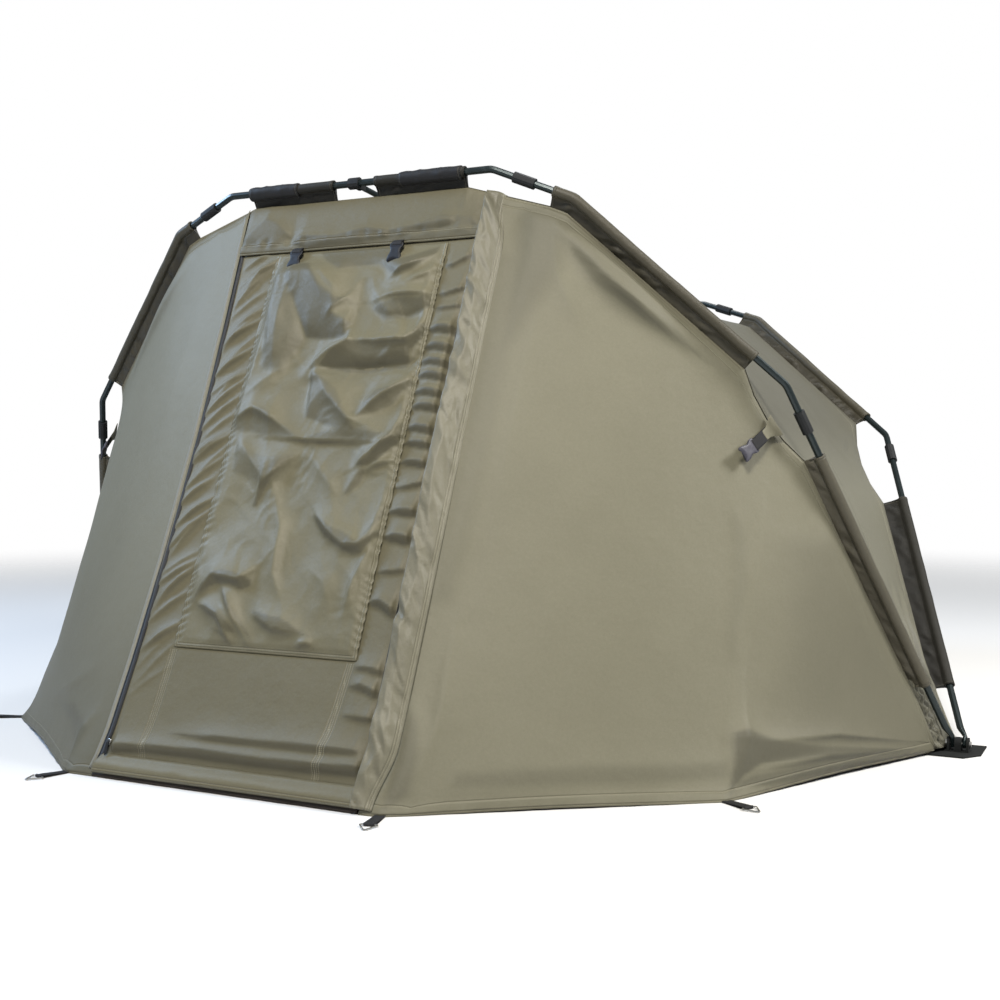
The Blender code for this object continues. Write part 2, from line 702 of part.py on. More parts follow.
def header_panel():
    """The strip over the door, from its lower edge to the ridge seam."""
    columns = np.linspace(ZIP_LEFT + GAP / 2, ZIP_RIGHT - GAP / 2, 9)
    low = np.array([door_point(x, HEADER_BOTTOM) for x in columns])
    high = np.array([seam_at(x) for x in columns])
    low_in = np.array([lining_direction(HEADER_BOTTOM) for x in columns])
    high_in = np.array([np.array(front.seam_inward(0)) for x in columns])
    shell("header_panel", *blended(low, high, low_in, high_in, 4), "cloth")


# Seams: lengths along each rib where the cloth's edge turns
def seam_lengths(rib, leg_start, leg_end):
    return [
        rib.ridge_bend - TOP_SLEEVE_BEFORE_BEND,
        rib.shoulder_bend - SHOULDER_SLEEVE_BEFORE_BEND,
        rib.shoulder_bend,
        rib.hip_bend - SHOULDER_SLEEVE_BEFORE_HIP,
        rib.hip_bend + leg_start,
        rib.hip_bend + leg_end,
    ]


FRONT_SEAM_LENGTHS = seam_lengths(front, FRONT_LEG_SLEEVE_PAST_HIP, FRONT_LEG_SLEEVE_END)
REAR_SEAM_LENGTHS = seam_lengths(rear, REAR_LEG_SLEEVE_PAST_HIP, REAR_LEG_SLEEVE_END)
FOOT_HALF = FRONT_BASE_HALF - PLATE_INNER_SETBACK - GAP
SEAM_COUNTS = [1, 1, 1, 3, 2, 3, 1]


def foot(rear_side):
    return Vector((FOOT_HALF, rear_side * FOOT_HALF_GAP, 0))


def half_seam(rib, lengths, forward, rear_side):
    """The right half's seam points and lining directions, from the ridge's middle to the foot."""
    shift = Vector((0, -math.copysign(GAP / 2, forward), 0))
    points = [rib.seam(at, forward) for at in [0, *lengths]] + [foot(rear_side) + shift]
    inward = [rib.seam_inward(at) for at in [0, *lengths]] + [Vector((-1, 0, 0))]
    return np.array(points), np.array(inward)


def seam_at(x):
    """The front seam's point at a distance across, on the cloth's front side."""
    points, _ = half_seam(front, FRONT_SEAM_LENGTHS, GAP / 2, -1)
    return np.array(
        (
            x,
            np.interp(abs(x), points[:, 0], points[:, 1]),
            np.interp(abs(x), points[:, 0], points[:, 2]),
        )
    )


def full_seam(rib, lengths, forward, rear_side):
    """The seam from the left foot to the right foot, with its lining directions."""
    points, inward = half_seam(rib, lengths, forward, rear_side)
    at = spread(np.arange(len(points)), SEAM_COUNTS)
    keys = np.arange(len(points))
    points, inward = along_line(points, keys, at), unit(along_line(inward, keys, at))
    flip = np.array((-1.0, 1.0, 1.0))
    return (
        np.concatenate([points[:0:-1] * flip, points]),
        np.concatenate([inward[:0:-1] * flip, inward]),
    )


def roof():
    """The saddle of cloth between the two ribs, drawn in a little at mid-span."""
    low, low_in = full_seam(front, FRONT_SEAM_LENGTHS, -GAP / 2, -1)
    high, high_in = full_seam(rear, REAR_SEAM_LENGTHS, GAP / 2, 1)
    outer, inward = blended(low, high, low_in, high_in, ROOF_ROWS)
    share = np.linspace(0, 1, ROOF_ROWS)[:, None, None]
    height = np.clip(outer[..., 2:] / FRONT_HIP_HEIGHT, 0, 1)
    outer = outer + unit(inward) * ROOF_SAG * 4 * share * (1 - share) * height
    shell("roof_panel", outer, inward, "cloth")


def ground_inward(points):
    """Level directions square to a hem that runs from left to right round the outside."""
    along = np.gradient(points, axis=0)
    return unit(np.stack([-along[:, 1], along[:, 0], 0 * along[:, 0]], axis=-1))


def rear_panel():
    high, high_in = full_seam(rear, REAR_SEAM_LENGTHS, -GAP / 2, 1)
    shift = Vector((0, GAP / 2, 0))
    corners = [foot(1) + shift, Vector((REAR_SIDE_HALF, REAR_SIDE_DEPTH, 0))]
    corners += [Vector((REAR_CORNER_HALF, REAR_HEM_DEPTH, 0)), Vector((0, REAR_HEM_DEPTH, 0))]
    half_count = len(high) // 2
    corner_shares = [0, 4 / half_count, 8 / half_count, 1]
    left = along_line(corners, corner_shares, np.linspace(0, 1, half_count + 1))
    left = left * np.array((-1.0, 1.0, 1.0))
    right = left[::-1] * np.array((-1.0, 1.0, 1.0))
    low = np.concatenate([left, right[1:]])
    low_in = -ground_inward(low)
    low_in[0], low_in[-1] = (1, 0, 0), (-1, 0, 0)
    outer, inward = blended(low, high, low_in, high_in, 6)
    shell("rear_panel", outer, inward, "cloth")


# Where the hem corners and the seam's turns pair up, as shares of the side panel's width
HEM_CORNER_SHARES = [0, 0.07, 0.56, 1]
SEAM_TURN_SHARES = [0, 0.10, 0.16, 0.56, 0.72, 0.94, 1]
PANEL_COLUMN_SHARES = [0, 0.07, 0.10, 0.16, 0.29, 0.42, 0.56, 0.64, 0.72, 0.83, 0.94, 1]


def side_panel_edges(edge_x, side):
    """Hem and seam of one front side panel, from its zip to its foot."""
    shift = Vector((0, -GAP / 2, 0))
    hem = [
        Vector((abs(edge_x), -DOOR_HEM_DEPTH, 0)),
        Vector((FRONT_CORNER_HALF, -DOOR_HEM_DEPTH, 0)),
        Vector((SIDE_CORNER_HALF, -SIDE_CORNER_DEPTH, 0)),
        foot(-1) + shift,
    ]
    points, inward = half_seam(front, FRONT_SEAM_LENGTHS, GAP / 2, -1)
    start = np.array(seam_at(abs(edge_x)))
    outside = points[:, 0] > start[0] + GAP
    seam = np.concatenate([[start], points[outside]])
    seam_in = np.concatenate([[np.array(front.seam_inward(0))], inward[outside]])
    shares = SEAM_TURN_SHARES[-len(seam) + 1 :]
    shares = [0, *shares]
    at = np.array(PANEL_COLUMN_SHARES)
    low = along_line(hem, HEM_CORNER_SHARES, at)
    high = along_line(seam, shares, at)
    low_in = ground_inward(low)
    low_in[0], low_in[-1] = (0, 1, 0), (-1, 0, 0)
    high_in = unit(along_line(seam_in, shares, at))
    flip = np.array((side, 1.0, 1.0))
    return low * flip, high * flip, low_in * flip, high_in * flip


def side_panels():
    for word, side, edge in (("left", -1, ZIP_LEFT - GAP / 2), ("right", 1, ZIP_RIGHT + GAP / 2)):
        outer, inward = blended(*side_panel_edges(edge, side), 7)
        shell(f"front_panel_{word}", outer, inward, "cloth")


def storm_flap():
    """A loose double strip over the right zip: sewn along its right edge, standing off at its left."""
    reach = FLAP_RIGHT - FLAP_LEFT
    columns = np.array([0, 0.25, 0.5, 0.75, 1]) * reach + FLAP_LEFT
    low, high = THRESHOLD_HEIGHT, SLOPE_LENGTH - POLE_RADIUS * 5
    rises = spread([low, low + reach, high - reach, high], [1, 5, 1])

    def lift(x, rise):
        share = (x - FLAP_LEFT) / reach
        return CLOTH + FLAP_STAND_OFF * (1 - share**1.6)

    outer = []
    for rise in rises:
        narrow = 1.0 - 0.35 * max(0.0, (rise - high + reach) / reach)
        across = [FLAP_LEFT + (x - FLAP_LEFT) * narrow for x in columns]
        outer.append([door_point(a, rise, lift(x, rise)) for a, x in zip(across, columns)])
    outer = np.array(outer)
    inward = np.broadcast_to(-np.array(SLOPE_OUT) * CLOTH, outer.shape)
    shell("storm_flap", outer, inward, "cloth")


# Zips and their sliders
ZIP_TAPE_HALF = 0.0080
ZIP_TAPE_THICK = 0.0014
SLIDER_HALF_WIDTH = 0.0050
SLIDER_LENGTH = 0.0140
SLIDER_THICK = 0.0060
PULL_LENGTH = 0.0260
PULL_THICK = 0.0020
SLIDER_BASE = THRESHOLD_HEIGHT + DOOR_HEM_HEIGHT + PULL_LENGTH


def zip_pieces():
    across, out = Vector((1, 0, 0)), SLOPE_OUT
    base = door_point(ZIP_LEFT - ZIP_TAPE_HALF, THRESHOLD_HEIGHT, GAP)
    length = HEADER_BOTTOM - THRESHOLD_HEIGHT
    outline = [(0, 0), (0, length), (ZIP_TAPE_THICK, length), (ZIP_TAPE_THICK, 0)]
    prism("zip_left", outline, base, out, SLOPE, across, 2 * ZIP_TAPE_HALF, "webbing")
    for word, x, low in (
        ("left", ZIP_LEFT, ZIP_TAPE_THICK + 2 * GAP),
        ("right", ZIP_RIGHT, GAP),
    ):
        high = low + SLIDER_THICK
        outline = [
            (low, SLIDER_BASE),
            (low, SLIDER_BASE + SLIDER_LENGTH),
            (high, SLIDER_BASE + SLIDER_LENGTH),
            (high, SLIDER_BASE - PULL_LENGTH + SLIDER_LENGTH),
            (high - PULL_THICK, SLIDER_BASE - PULL_LENGTH + SLIDER_LENGTH),
            (high - PULL_THICK, SLIDER_BASE),
        ]
        base = door_point(x - SLIDER_HALF_WIDTH, 0)
        name = "zip_slider_" + word
        prism(name, outline, base, out, SLOPE, across, 2 * SLIDER_HALF_WIDTH, "steel")


# Side-release buckle halves on webbing
BUCKLE_HALF_WIDTH = 0.0170
BUCKLE_LENGTH = 0.040
BUCKLE_THICK = 0.0090
STRAP_HALF_WIDTH = 0.0125
STRAP_THICK = 0.0022
BUCKLE_DROP = 0.022
HEADER_BUCKLE_X = 0.155
FLANK_BUCKLE_INSET = 0.030
FLANK_BUCKLE_LEAN = math.radians(35)


def buckle(name, base, across, down, out, clearance):
    """Webbing from its sewn end at the base, with a buckle body at its free end."""
    near, far = BUCKLE_DROP, BUCKLE_DROP + BUCKLE_LENGTH
    outline = [
        (clearance, near),
        (clearance, far),
        (clearance + BUCKLE_THICK, far - BUCKLE_THICK / 2),
        (clearance + BUCKLE_THICK, near),
    ]
    start = base - across * BUCKLE_HALF_WIDTH
    body = prism(name, outline, start, out, down, across, 2 * BUCKLE_HALF_WIDTH, "plastic")
    outline = [
        (GAP, 0),
        (GAP, near / 2),
        (clearance + GAP, near),
        (clearance + GAP, far - BUCKLE_THICK),
        (clearance + GAP + STRAP_THICK, far - BUCKLE_THICK),
        (clearance + GAP + STRAP_THICK, near),
        (GAP + STRAP_THICK, near / 2),
        (GAP + STRAP_THICK, 0),
    ]
    start = base - across * STRAP_HALF_WIDTH
    webbing = prism(name + "_web", outline, start, out, down, across, 2 * STRAP_HALF_WIDTH)
    boolean(body, webbing, "UNION")


def buckles():
    across = Vector((1, 0, 0))
    over_cover = 2 * CLOTH + 3 * GAP
    for side, word in ((-1, "left"), (1, "right")):
        base = door_point(side * HEADER_BUCKLE_X, HEADER_BOTTOM + BUCKLE_DROP / 2)
        buckle(f"header_buckle_{word}", base, across, -SLOPE, SLOPE_OUT, over_cover)
    base, along, down, out = flank_frame()
    buckle("flank_buckle", base, along, down, out, 4 * GAP)


def flank_frame():
    """Where the flank buckle is sewn: on the right panel, below the middle of its free edge at the hip."""
    low, high, _, _ = side_panel_edges(ZIP_RIGHT + GAP / 2, 1)
    column = PANEL_COLUMN_SHARES.index(0.64)
    top, bottom = Vector(high[column]), Vector(low[column])
    straight = (bottom - top).normalized()
    share = (FLANK_BUCKLE_INSET + BUCKLE_DROP) / (bottom - top).length
    beside = Vector(high[column + 1]).lerp(Vector(low[column + 1]), share)
    out = (beside - top.lerp(bottom, share)).cross(straight).normalized()
    if out.y > 0:
        out = -out
    forward = out.cross(straight)
    if forward.y > 0:
        forward = -forward
    down = straight * math.cos(FLANK_BUCKLE_LEAN) + forward * math.sin(FLANK_BUCKLE_LEAN)
    along = down.cross(out).normalized()
    return top + straight * FLANK_BUCKLE_INSET, along, down, out


# Pegging points: a webbing loop and a triangular ring at each hem corner
LOOP_LENGTH = 0.070
LOOP_HALF_WIDTH = 0.0125
LOOP_THICK = 0.0016
RING_WIRE_RADIUS = 0.0020
RING_SIDE = 0.046
RING_CORNER_RADIUS = 0.0045
FRONT_STRAP_SHARES = (0.25, -0.97)
SIDE_STRAP_TURN_SHARE = 0.724047


def side_strap_direction():
    """Between the outward directions of the two hem stretches that meet at the side corner."""
    corner = Vector((SIDE_CORNER_HALF, -SIDE_CORNER_DEPTH, 0))
    ahead = corner - Vector((FRONT_CORNER_HALF, -DOOR_HEM_DEPTH, 0))
    behind = foot(-1) - corner
    first = Vector((ahead.y, -ahead.x, 0)).normalized()
    second = Vector((behind.y, -behind.x, 0)).normalized()
    return first.lerp(second, SIDE_STRAP_TURN_SHARE).normalized()


def loop_outline():
    """Side view of a doubled strap: along the ground, round the ring's wire and back on top."""
    radius = RING_WIRE_RADIUS + GAP
    centre = Vector((LOOP_LENGTH, LOOP_THICK + radius))
    turns = [math.pi * (k / 6 - 0.5) for k in range(7)]
    inner = [centre + Vector((math.cos(t), math.sin(t))) * radius for t in turns]
    outer = [centre + Vector((math.cos(t), math.sin(t))) * (radius + LOOP_THICK) for t in turns]
    reach = LOOP_LENGTH - 3 * RING_WIRE_RADIUS
    return (
        [Vector((GAP, 0)), *outer, Vector((reach, 2 * LOOP_THICK + GAP))]
        + [Vector((GAP, 2 * LOOP_THICK + GAP)), Vector((GAP, LOOP_THICK + GAP))]
        + [Vector((reach, LOOP_THICK + GAP)), *reversed(inner), Vector((GAP, LOOP_THICK))]
    )


def pegging_points():
    height = LOOP_THICK + RING_WIRE_RADIUS + GAP
    corners = {
        "front": Vector((FRONT_CORNER_HALF, -DOOR_HEM_DEPTH, 0)),
        "side": Vector((SIDE_CORNER_HALF, -SIDE_CORNER_DEPTH, 0)),
    }
    directions = {
        "front": Vector((*FRONT_STRAP_SHARES, 0)).normalized(),
        "side": side_strap_direction(),
    }
    for place, corner in corners.items():
        for side, word in ((-1, "left"), (1, "right")):
            away = Vector((directions[place].x * side, directions[place].y, 0))
            across = Vector((-away.y, away.x, 0))
            base = Vector((corner.x * side, corner.y, 0))
            name = f"{place}_peg_strap_{word}"
            start = base - across * LOOP_HALF_WIDTH
            up = Vector((0, 0, 1))
            prism(name, loop_outline(), start, away, up, across, 2 * LOOP_HALF_WIDTH, "webbing")
            axis = base + away * LOOP_LENGTH + up * height
            tip_drop = height - RING_WIRE_RADIUS - GAP
            tip = axis + away * (RING_SIDE * math.sqrt(3) / 2) - up * tip_drop
            half = across * (RING_SIDE / 2)
            loop = rounded([axis, axis + half, tip, axis - half, axis], RING_CORNER_RADIUS, 3)
            ring_name = f"{place}_peg_ring_{word}"
            tube(ring_name, loop[:-1], RING_WIRE_RADIUS, "steel", resolution=2, closed=True)


clear_scene()
frame_poles("front", front, FRONT_BASE_HALF, FRONT_HIP_COLLAR_PAST_BEND)
frame_poles("rear", rear, FRONT_BASE_HALF + POLE_PITCH, REAR_HIP_COLLAR_PAST_BEND)
sleeves()
for word, side in (("left", -1), ("right", 1)):
    pivot_bracket(word, side)
knuckles_and_bar()
door_pieces()
header_panel()
side_panels()
storm_flap()
roof()
rear_panel()
zip_pieces()
buckles()
pegging_points()
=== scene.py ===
import math

import bpy
import numpy as np
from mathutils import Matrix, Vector


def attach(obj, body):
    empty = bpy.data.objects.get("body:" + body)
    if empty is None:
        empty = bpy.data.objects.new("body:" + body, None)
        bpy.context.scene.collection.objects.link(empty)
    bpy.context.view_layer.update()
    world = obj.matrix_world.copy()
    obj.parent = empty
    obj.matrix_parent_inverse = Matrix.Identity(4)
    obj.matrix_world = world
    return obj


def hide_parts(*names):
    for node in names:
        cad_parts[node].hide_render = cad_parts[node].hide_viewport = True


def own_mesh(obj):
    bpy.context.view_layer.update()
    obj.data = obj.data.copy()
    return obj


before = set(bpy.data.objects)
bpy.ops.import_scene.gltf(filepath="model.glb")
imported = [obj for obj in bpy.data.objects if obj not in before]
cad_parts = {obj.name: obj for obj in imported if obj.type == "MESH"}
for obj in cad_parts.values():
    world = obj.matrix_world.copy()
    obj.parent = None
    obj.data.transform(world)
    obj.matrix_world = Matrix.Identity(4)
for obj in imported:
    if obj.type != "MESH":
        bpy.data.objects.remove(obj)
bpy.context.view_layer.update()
print("frame loaded")

# The shelter's driving sizes in metres, the same as the frame's. X runs across the door and -Y is the front
tent = {
    "poleRadius": 0.0095,
    "bendRadius": 0.050,
    "pivotHeight": 0.024,
    "webDepth": 0.047,
    "webHalf": 0.0016,
    "clothThick": 0.0016,
    "footHalf": 1.4165,
    "footGap": 0.050,
    "doorDepth": 1.240,
    "zipLeft": -0.341,
    "zipRight": 0.401,
    "seamAllowance": 0.0005,
    "seamForward": 0.00025,
}


# Small helpers for arrays of points
def unit(vectors):
    return vectors / np.maximum(np.linalg.norm(vectors, axis=-1, keepdims=True), 1e-12)


def ease(share):  # nought to one, level at both ends
    share = np.clip(share, 0, 1)
    return share * share * (3 - 2 * share)


def hump(value, low, high):  # the square of a half sine: nought at both limits, one midway
    return np.sin(np.pi * np.clip((value - low) / (high - low), 0, 1)) ** 2


def noise(x, y, seed):  # seeded random values at whole places, eased between them, from -1 to 1
    table = np.random.default_rng(seed).uniform(-1, 1, (64, 64))
    column, row = np.floor(x).astype(int), np.floor(y).astype(int)
    across, up = ease(x - column), ease(y - row)
    low = table[row % 64, column % 64] * (1 - across) + table[row % 64, (column + 1) % 64] * across
    row = row + 1
    high = table[row % 64, column % 64] * (1 - across) + table[row % 64, (column + 1) % 64] * across
    return low * (1 - up) + high * up


def crumple(x, y, size, seed):  # one less the noise's distance from nought: sharp crests round soft hollows
    bent = noise(y / size / 1.7, x / size / 1.7, seed + 7)
    return 1 - np.abs(noise(x / size + bent, y / size - bent, seed)) * 2


def crease(x, y, path, upper, lower, height):
    # A ridge along a path. It falls away over one width on its left-hand side and another on its right,
    # by the power of e to minus the distance share to 1.1, and it fades towards the path's ends.
    path = np.array(path, float)
    lengths = np.linalg.norm(np.diff(path, axis=0), axis=1)
    nearest = np.full(x.shape, np.inf)
    side = np.zeros(x.shape)
    travelled = np.zeros(x.shape)
    done = 0.0
    for start, end, length in zip(path, path[1:], lengths):
        along = (end - start) / length
        right, up = x - start[0], y - start[1]
        reach = np.clip(right * along[0] + up * along[1], 0, length)
        distance = np.hypot(right - reach * along[0], up - reach * along[1])
        closer = distance < nearest
        side = np.where(closer, along[0] * up - along[1] * right, side)
        travelled = np.where(closer, done + reach, travelled)
        nearest = np.where(closer, distance, nearest)
        done += length
    width = np.where(side > 0, upper, lower)
    return height * np.exp(-((nearest / width) ** 1.1)) * hump(travelled, -0.2 * done, 1.2 * done)


def inside(x, y, corners, soft):
    # One inside an outline and nought outside it, eased over the soft width. The distance to the nearest
    # side is signed by whether a level ray crosses the outline an odd number of times.
    corners = np.array(corners, float)
    nearest = np.full(x.shape, np.inf)
    odd = np.zeros(x.shape, bool)
    for start, end in zip(corners, np.roll(corners, -1, axis=0)):
        along = end - start
        right, up = x - start[0], y - start[1]
        share = np.clip((right * along[0] + up * along[1]) / (along @ along), 0, 1)
        nearest = np.minimum(nearest, np.hypot(right - share * along[0], up - share * along[1]))
        if along[1]:
            odd ^= ((start[1] > y) != (end[1] > y)) & (right < along[0] * up / along[1])
    return ease(0.5 + np.where(odd, nearest, -nearest) / soft)


def facets(x, y, outlines):  # the strongest of several outlined facets at each place
    tone = np.zeros(x.shape)
    for corners, strength, soft in outlines:
        tone = np.maximum(tone, strength * inside(x, y, corners, soft * 0.7))
    return tone


def overhang(tone, step, reach, rounds=4):
    # Row by row upwards: the cloth leans out by the tone's slope and sinks back by e to minus step over
    # reach. Neighbours are then averaged a few times.
    relief = np.zeros(tone.shape)
    for row in range(1, len(tone)):
        relief[row] = (relief[row - 1] + tone[row] * step) * math.exp(-step / reach)
    return relax(relief, rounds)


def pick(points, shares, at):  # places on a polyline whose points stand at the given shares
    points = np.array(points, float)
    return np.stack([np.interp(at, shares, points[:, axis]) for axis in range(3)], axis=-1)


def spread(keys, counts):  # each stretch between two keys in its own count of equal steps
    parts = [np.linspace(a, b, n, endpoint=False) for a, b, n in zip(keys, keys[1:], counts)]
    return np.concatenate([*parts, [keys[-1]]])


def relax(grid, rounds):  # every inner point moves to the middle of its four neighbours: the cloth draws taut
    for turn in range(rounds):
        middle = grid[:-2, 1:-1] + grid[2:, 1:-1] + grid[1:-1, :-2] + grid[1:-1, 2:]
        grid[1:-1, 1:-1] = middle / 4
    return grid


def groundShade(relief, up, strength):  # a share of darkness where the folded cloth faces the ground
    rise = np.gradient(relief, axis=0) / np.maximum(np.gradient(up, axis=0), 1e-6)
    return np.clip(rise * strength, 0, 1)


def hemStep(inset, height, depth, soft=0.006):  # a raised border: the height up to the depth, then eased off
    return height * (1 - ease((inset - depth) / soft))


def facing(grid):  # unit normals, from the cross product of the steps across and the steps up
    return unit(np.cross(np.gradient(grid, axis=1), np.gradient(grid, axis=0)))


def runs(grid):  # lengths along each row and up each column, in metres
    across = np.linalg.norm(np.diff(grid, axis=1), axis=-1)
    up = np.linalg.norm(np.diff(grid, axis=0), axis=-1)
    across = np.concatenate([np.zeros((len(grid), 1)), np.cumsum(across, axis=1)], axis=1)
    up = np.concatenate([np.zeros((1, grid.shape[1])), np.cumsum(up, axis=0)], axis=0)
    return across, up


# The two ribs: flat bent arches that lean about the bracket bolts
class Rib:
    def __init__(self, lean, corners):  # the lean backwards, and the right half's corners from ridge to foot
        self.up = np.array((0, math.sin(lean), math.cos(lean)))
        self.front = np.array((0, -math.cos(lean), math.sin(lean)))
        right = np.array(corners, float)
        self.points = self.rounded(np.concatenate([right[::-1] * (-1, 1), right]))
        steps = np.linalg.norm(np.diff(self.points, axis=0), axis=1)
        self.lengths = np.concatenate([[0], np.cumsum(steps)]) - steps.sum() / 2
        bends = np.cumsum(np.linalg.norm(np.diff(right, axis=0), axis=1))
        self.ridgeBend = right[0, 0]
        self.shoulderBend = self.ridgeBend + bends[0]
        self.hipBend = self.ridgeBend + bends[1]

    def rounded(self, corners):  # each inner corner becomes an arc of the bend radius
        path = [corners[0]]
        for before, corner, after in zip(corners, corners[1:], corners[2:]):
            into, out = unit(corner - before), unit(after - corner)
            turn = math.acos(np.clip(into @ out, -1, 1))
            middle = corner + unit(out - into) * tent["bendRadius"] / math.cos(turn / 2)
            reach = tent["bendRadius"] * math.tan(turn / 2)
            first, last = corner - into * reach - middle, corner + out * reach - middle
            share = np.linspace(0, 1, 7)[:, None]
            arc = first * np.sin(turn * (1 - share)) + last * np.sin(turn * share)
            path.extend(middle + arc / math.sin(turn))
        return np.array([*path, corners[-1]])

    def centre(self, length):  # the in-plane point at a signed length from the ridge's middle
        x = np.interp(length, self.lengths, self.points[:, 0])
        height = np.interp(length, self.lengths, self.points[:, 1])
        return np.stack([x, height], axis=-1)

    def inward(self, length):  # the in-plane direction into the arch, square to the pole
        along = unit(self.centre(length + tent["poleRadius"]) - self.centre(length - tent["poleRadius"]))
        return np.stack([along[..., 1], -along[..., 0]], axis=-1)

    def space(self, flat, forward=0.0):  # an in-plane point in space, moved forward out of the rib's plane
        forward = np.broadcast_to(forward, flat.shape[:-1])[..., None]
        across = flat[..., :1] * np.array((1.0, 0, 0))
        lift = np.array((0, 0, tent["pivotHeight"]))
        return across + lift + flat[..., 1:] * self.up + forward * self.front

    def seam(self, length, depth, forward):  # a place inside the pole, on the cloth's side
        return self.space(self.centre(length) + self.inward(length) * depth, forward)


frontRib = Rib(math.radians(-22.4), [(0.416, 1.622), (0.631, 1.528), (1.124, 1.018), (1.477, 0)])
rearRib = Rib(math.radians(38.6), [(0.433, 1.688), (0.657, 1.590), (1.170, 1.059), (1.507, 0)])
pivot = (0, 0, tent["pivotHeight"])

# Where sleeves start and stop: at the ridge from its middle, and elsewhere from a rib's bends
sleeveRuns = {
    "notch": 0.066,
    "topBeforeBend": 0.076,
    "shoulderBeforeBend": 0.057,
    "shoulderBeforeHip": 0.103,
    "frontLeg": (0.203, 0.893),
    "rearLeg": (0.265, 0.930),
    "rearTopStart": 0.0165,
}


# Finishes. Every cloth reads its own map in metres, and its distance from its sewn edges
def node(tree, kind, inputs=None, **settings):  # a shader node, its inputs linked or set
    made = tree.nodes.new("ShaderNode" + kind)
    for key, value in settings.items():
        setattr(made, key, value)
    for key, value in (inputs or {}).items():
        if isinstance(value, bpy.types.NodeSocket):
            tree.links.new(value, made.inputs[key])
        else:
            made.inputs[key].default_value = value
    return made


def sums(tree, operation, first, second=0.0):  # one Math node on two sockets or numbers
    return node(tree, "Math", {0: first, 1: second}, operation=operation).outputs[0]


def newFinish(name, roughness, sheen=0.0, metallic=0.0, specular=0.5):  # plain values on the sockets
    material = bpy.data.materials.new(name)
    material.use_nodes = True
    shader = material.node_tree.nodes["Principled BSDF"]
    shader.inputs["Roughness"].default_value = roughness
    shader.inputs["Metallic"].default_value = metallic
    shader.inputs["Specular IOR Level"].default_value = specular
    shader.inputs["Sheen Weight"].default_value = sheen
    return material, material.node_tree, shader


def coat(tree, shader, colour, height, strength, depth):  # colour and bump into the shader
    tree.links.new(colour, shader.inputs["Base Color"])
    bump = node(tree, "Bump", {"Height": height, "Strength": strength, "Distance": depth})
    tree.links.new(bump.outputs[0], shader.inputs["Normal"])


def noiseMap(tree, place, scale, detail, roughness=0.5):  # a noise from nought to one over the place
    inputs = {"Vector": place, "Scale": scale, "Detail": detail, "Roughness": roughness}
    return node(tree, "TexNoise", inputs).outputs[0]


def scaled(colour, share):  # a colour times a share, darker below one and lighter above
    return tuple(channel * share for channel in colour)


def blendColours(tree, share, low, high):  # low where the share is nought, high where it is one
    mix = node(tree, "Mix", data_type="RGBA")
    for socket, value in ((mix.inputs[0], share), (mix.inputs[6], low), (mix.inputs[7], high)):
        if isinstance(value, bpy.types.NodeSocket):
            tree.links.new(value, socket)
        else:
            socket.default_value = value if isinstance(value, float) else (*value, 1.0)
    return mix.outputs[2]


clothLook = {
    "largeScale": 1.9,
    "smallScale": 150.0,
    "largeGain": 1.6,
    "smallGain": 1.6,
    "toneShift": -1.1,
    "weaveTone": (0.10, 0.12),  # gain and shift
    "weaveDark": 0.55,  # the darker tone's share in the weave, at a worn edge and in the painted shade of a fold
    "wornDark": 0.5,
    "foldShadeTone": 0.30,
    "wornReach": 0.03,
    "foldShade": 0.6,
    "weavePitch": 0.0011,
    "weaveDepth": 0.0002,
    "wrinkleScale": 26.0,
    "wrinkleDepth": 0.006,
    "stitchPitch": 0.0042,
    "stitchShare": 0.62,
    "stitchHalf": 0.0007,
    "grooveHalf": 0.0042,
    "grooveDepth": 0.0016,
}


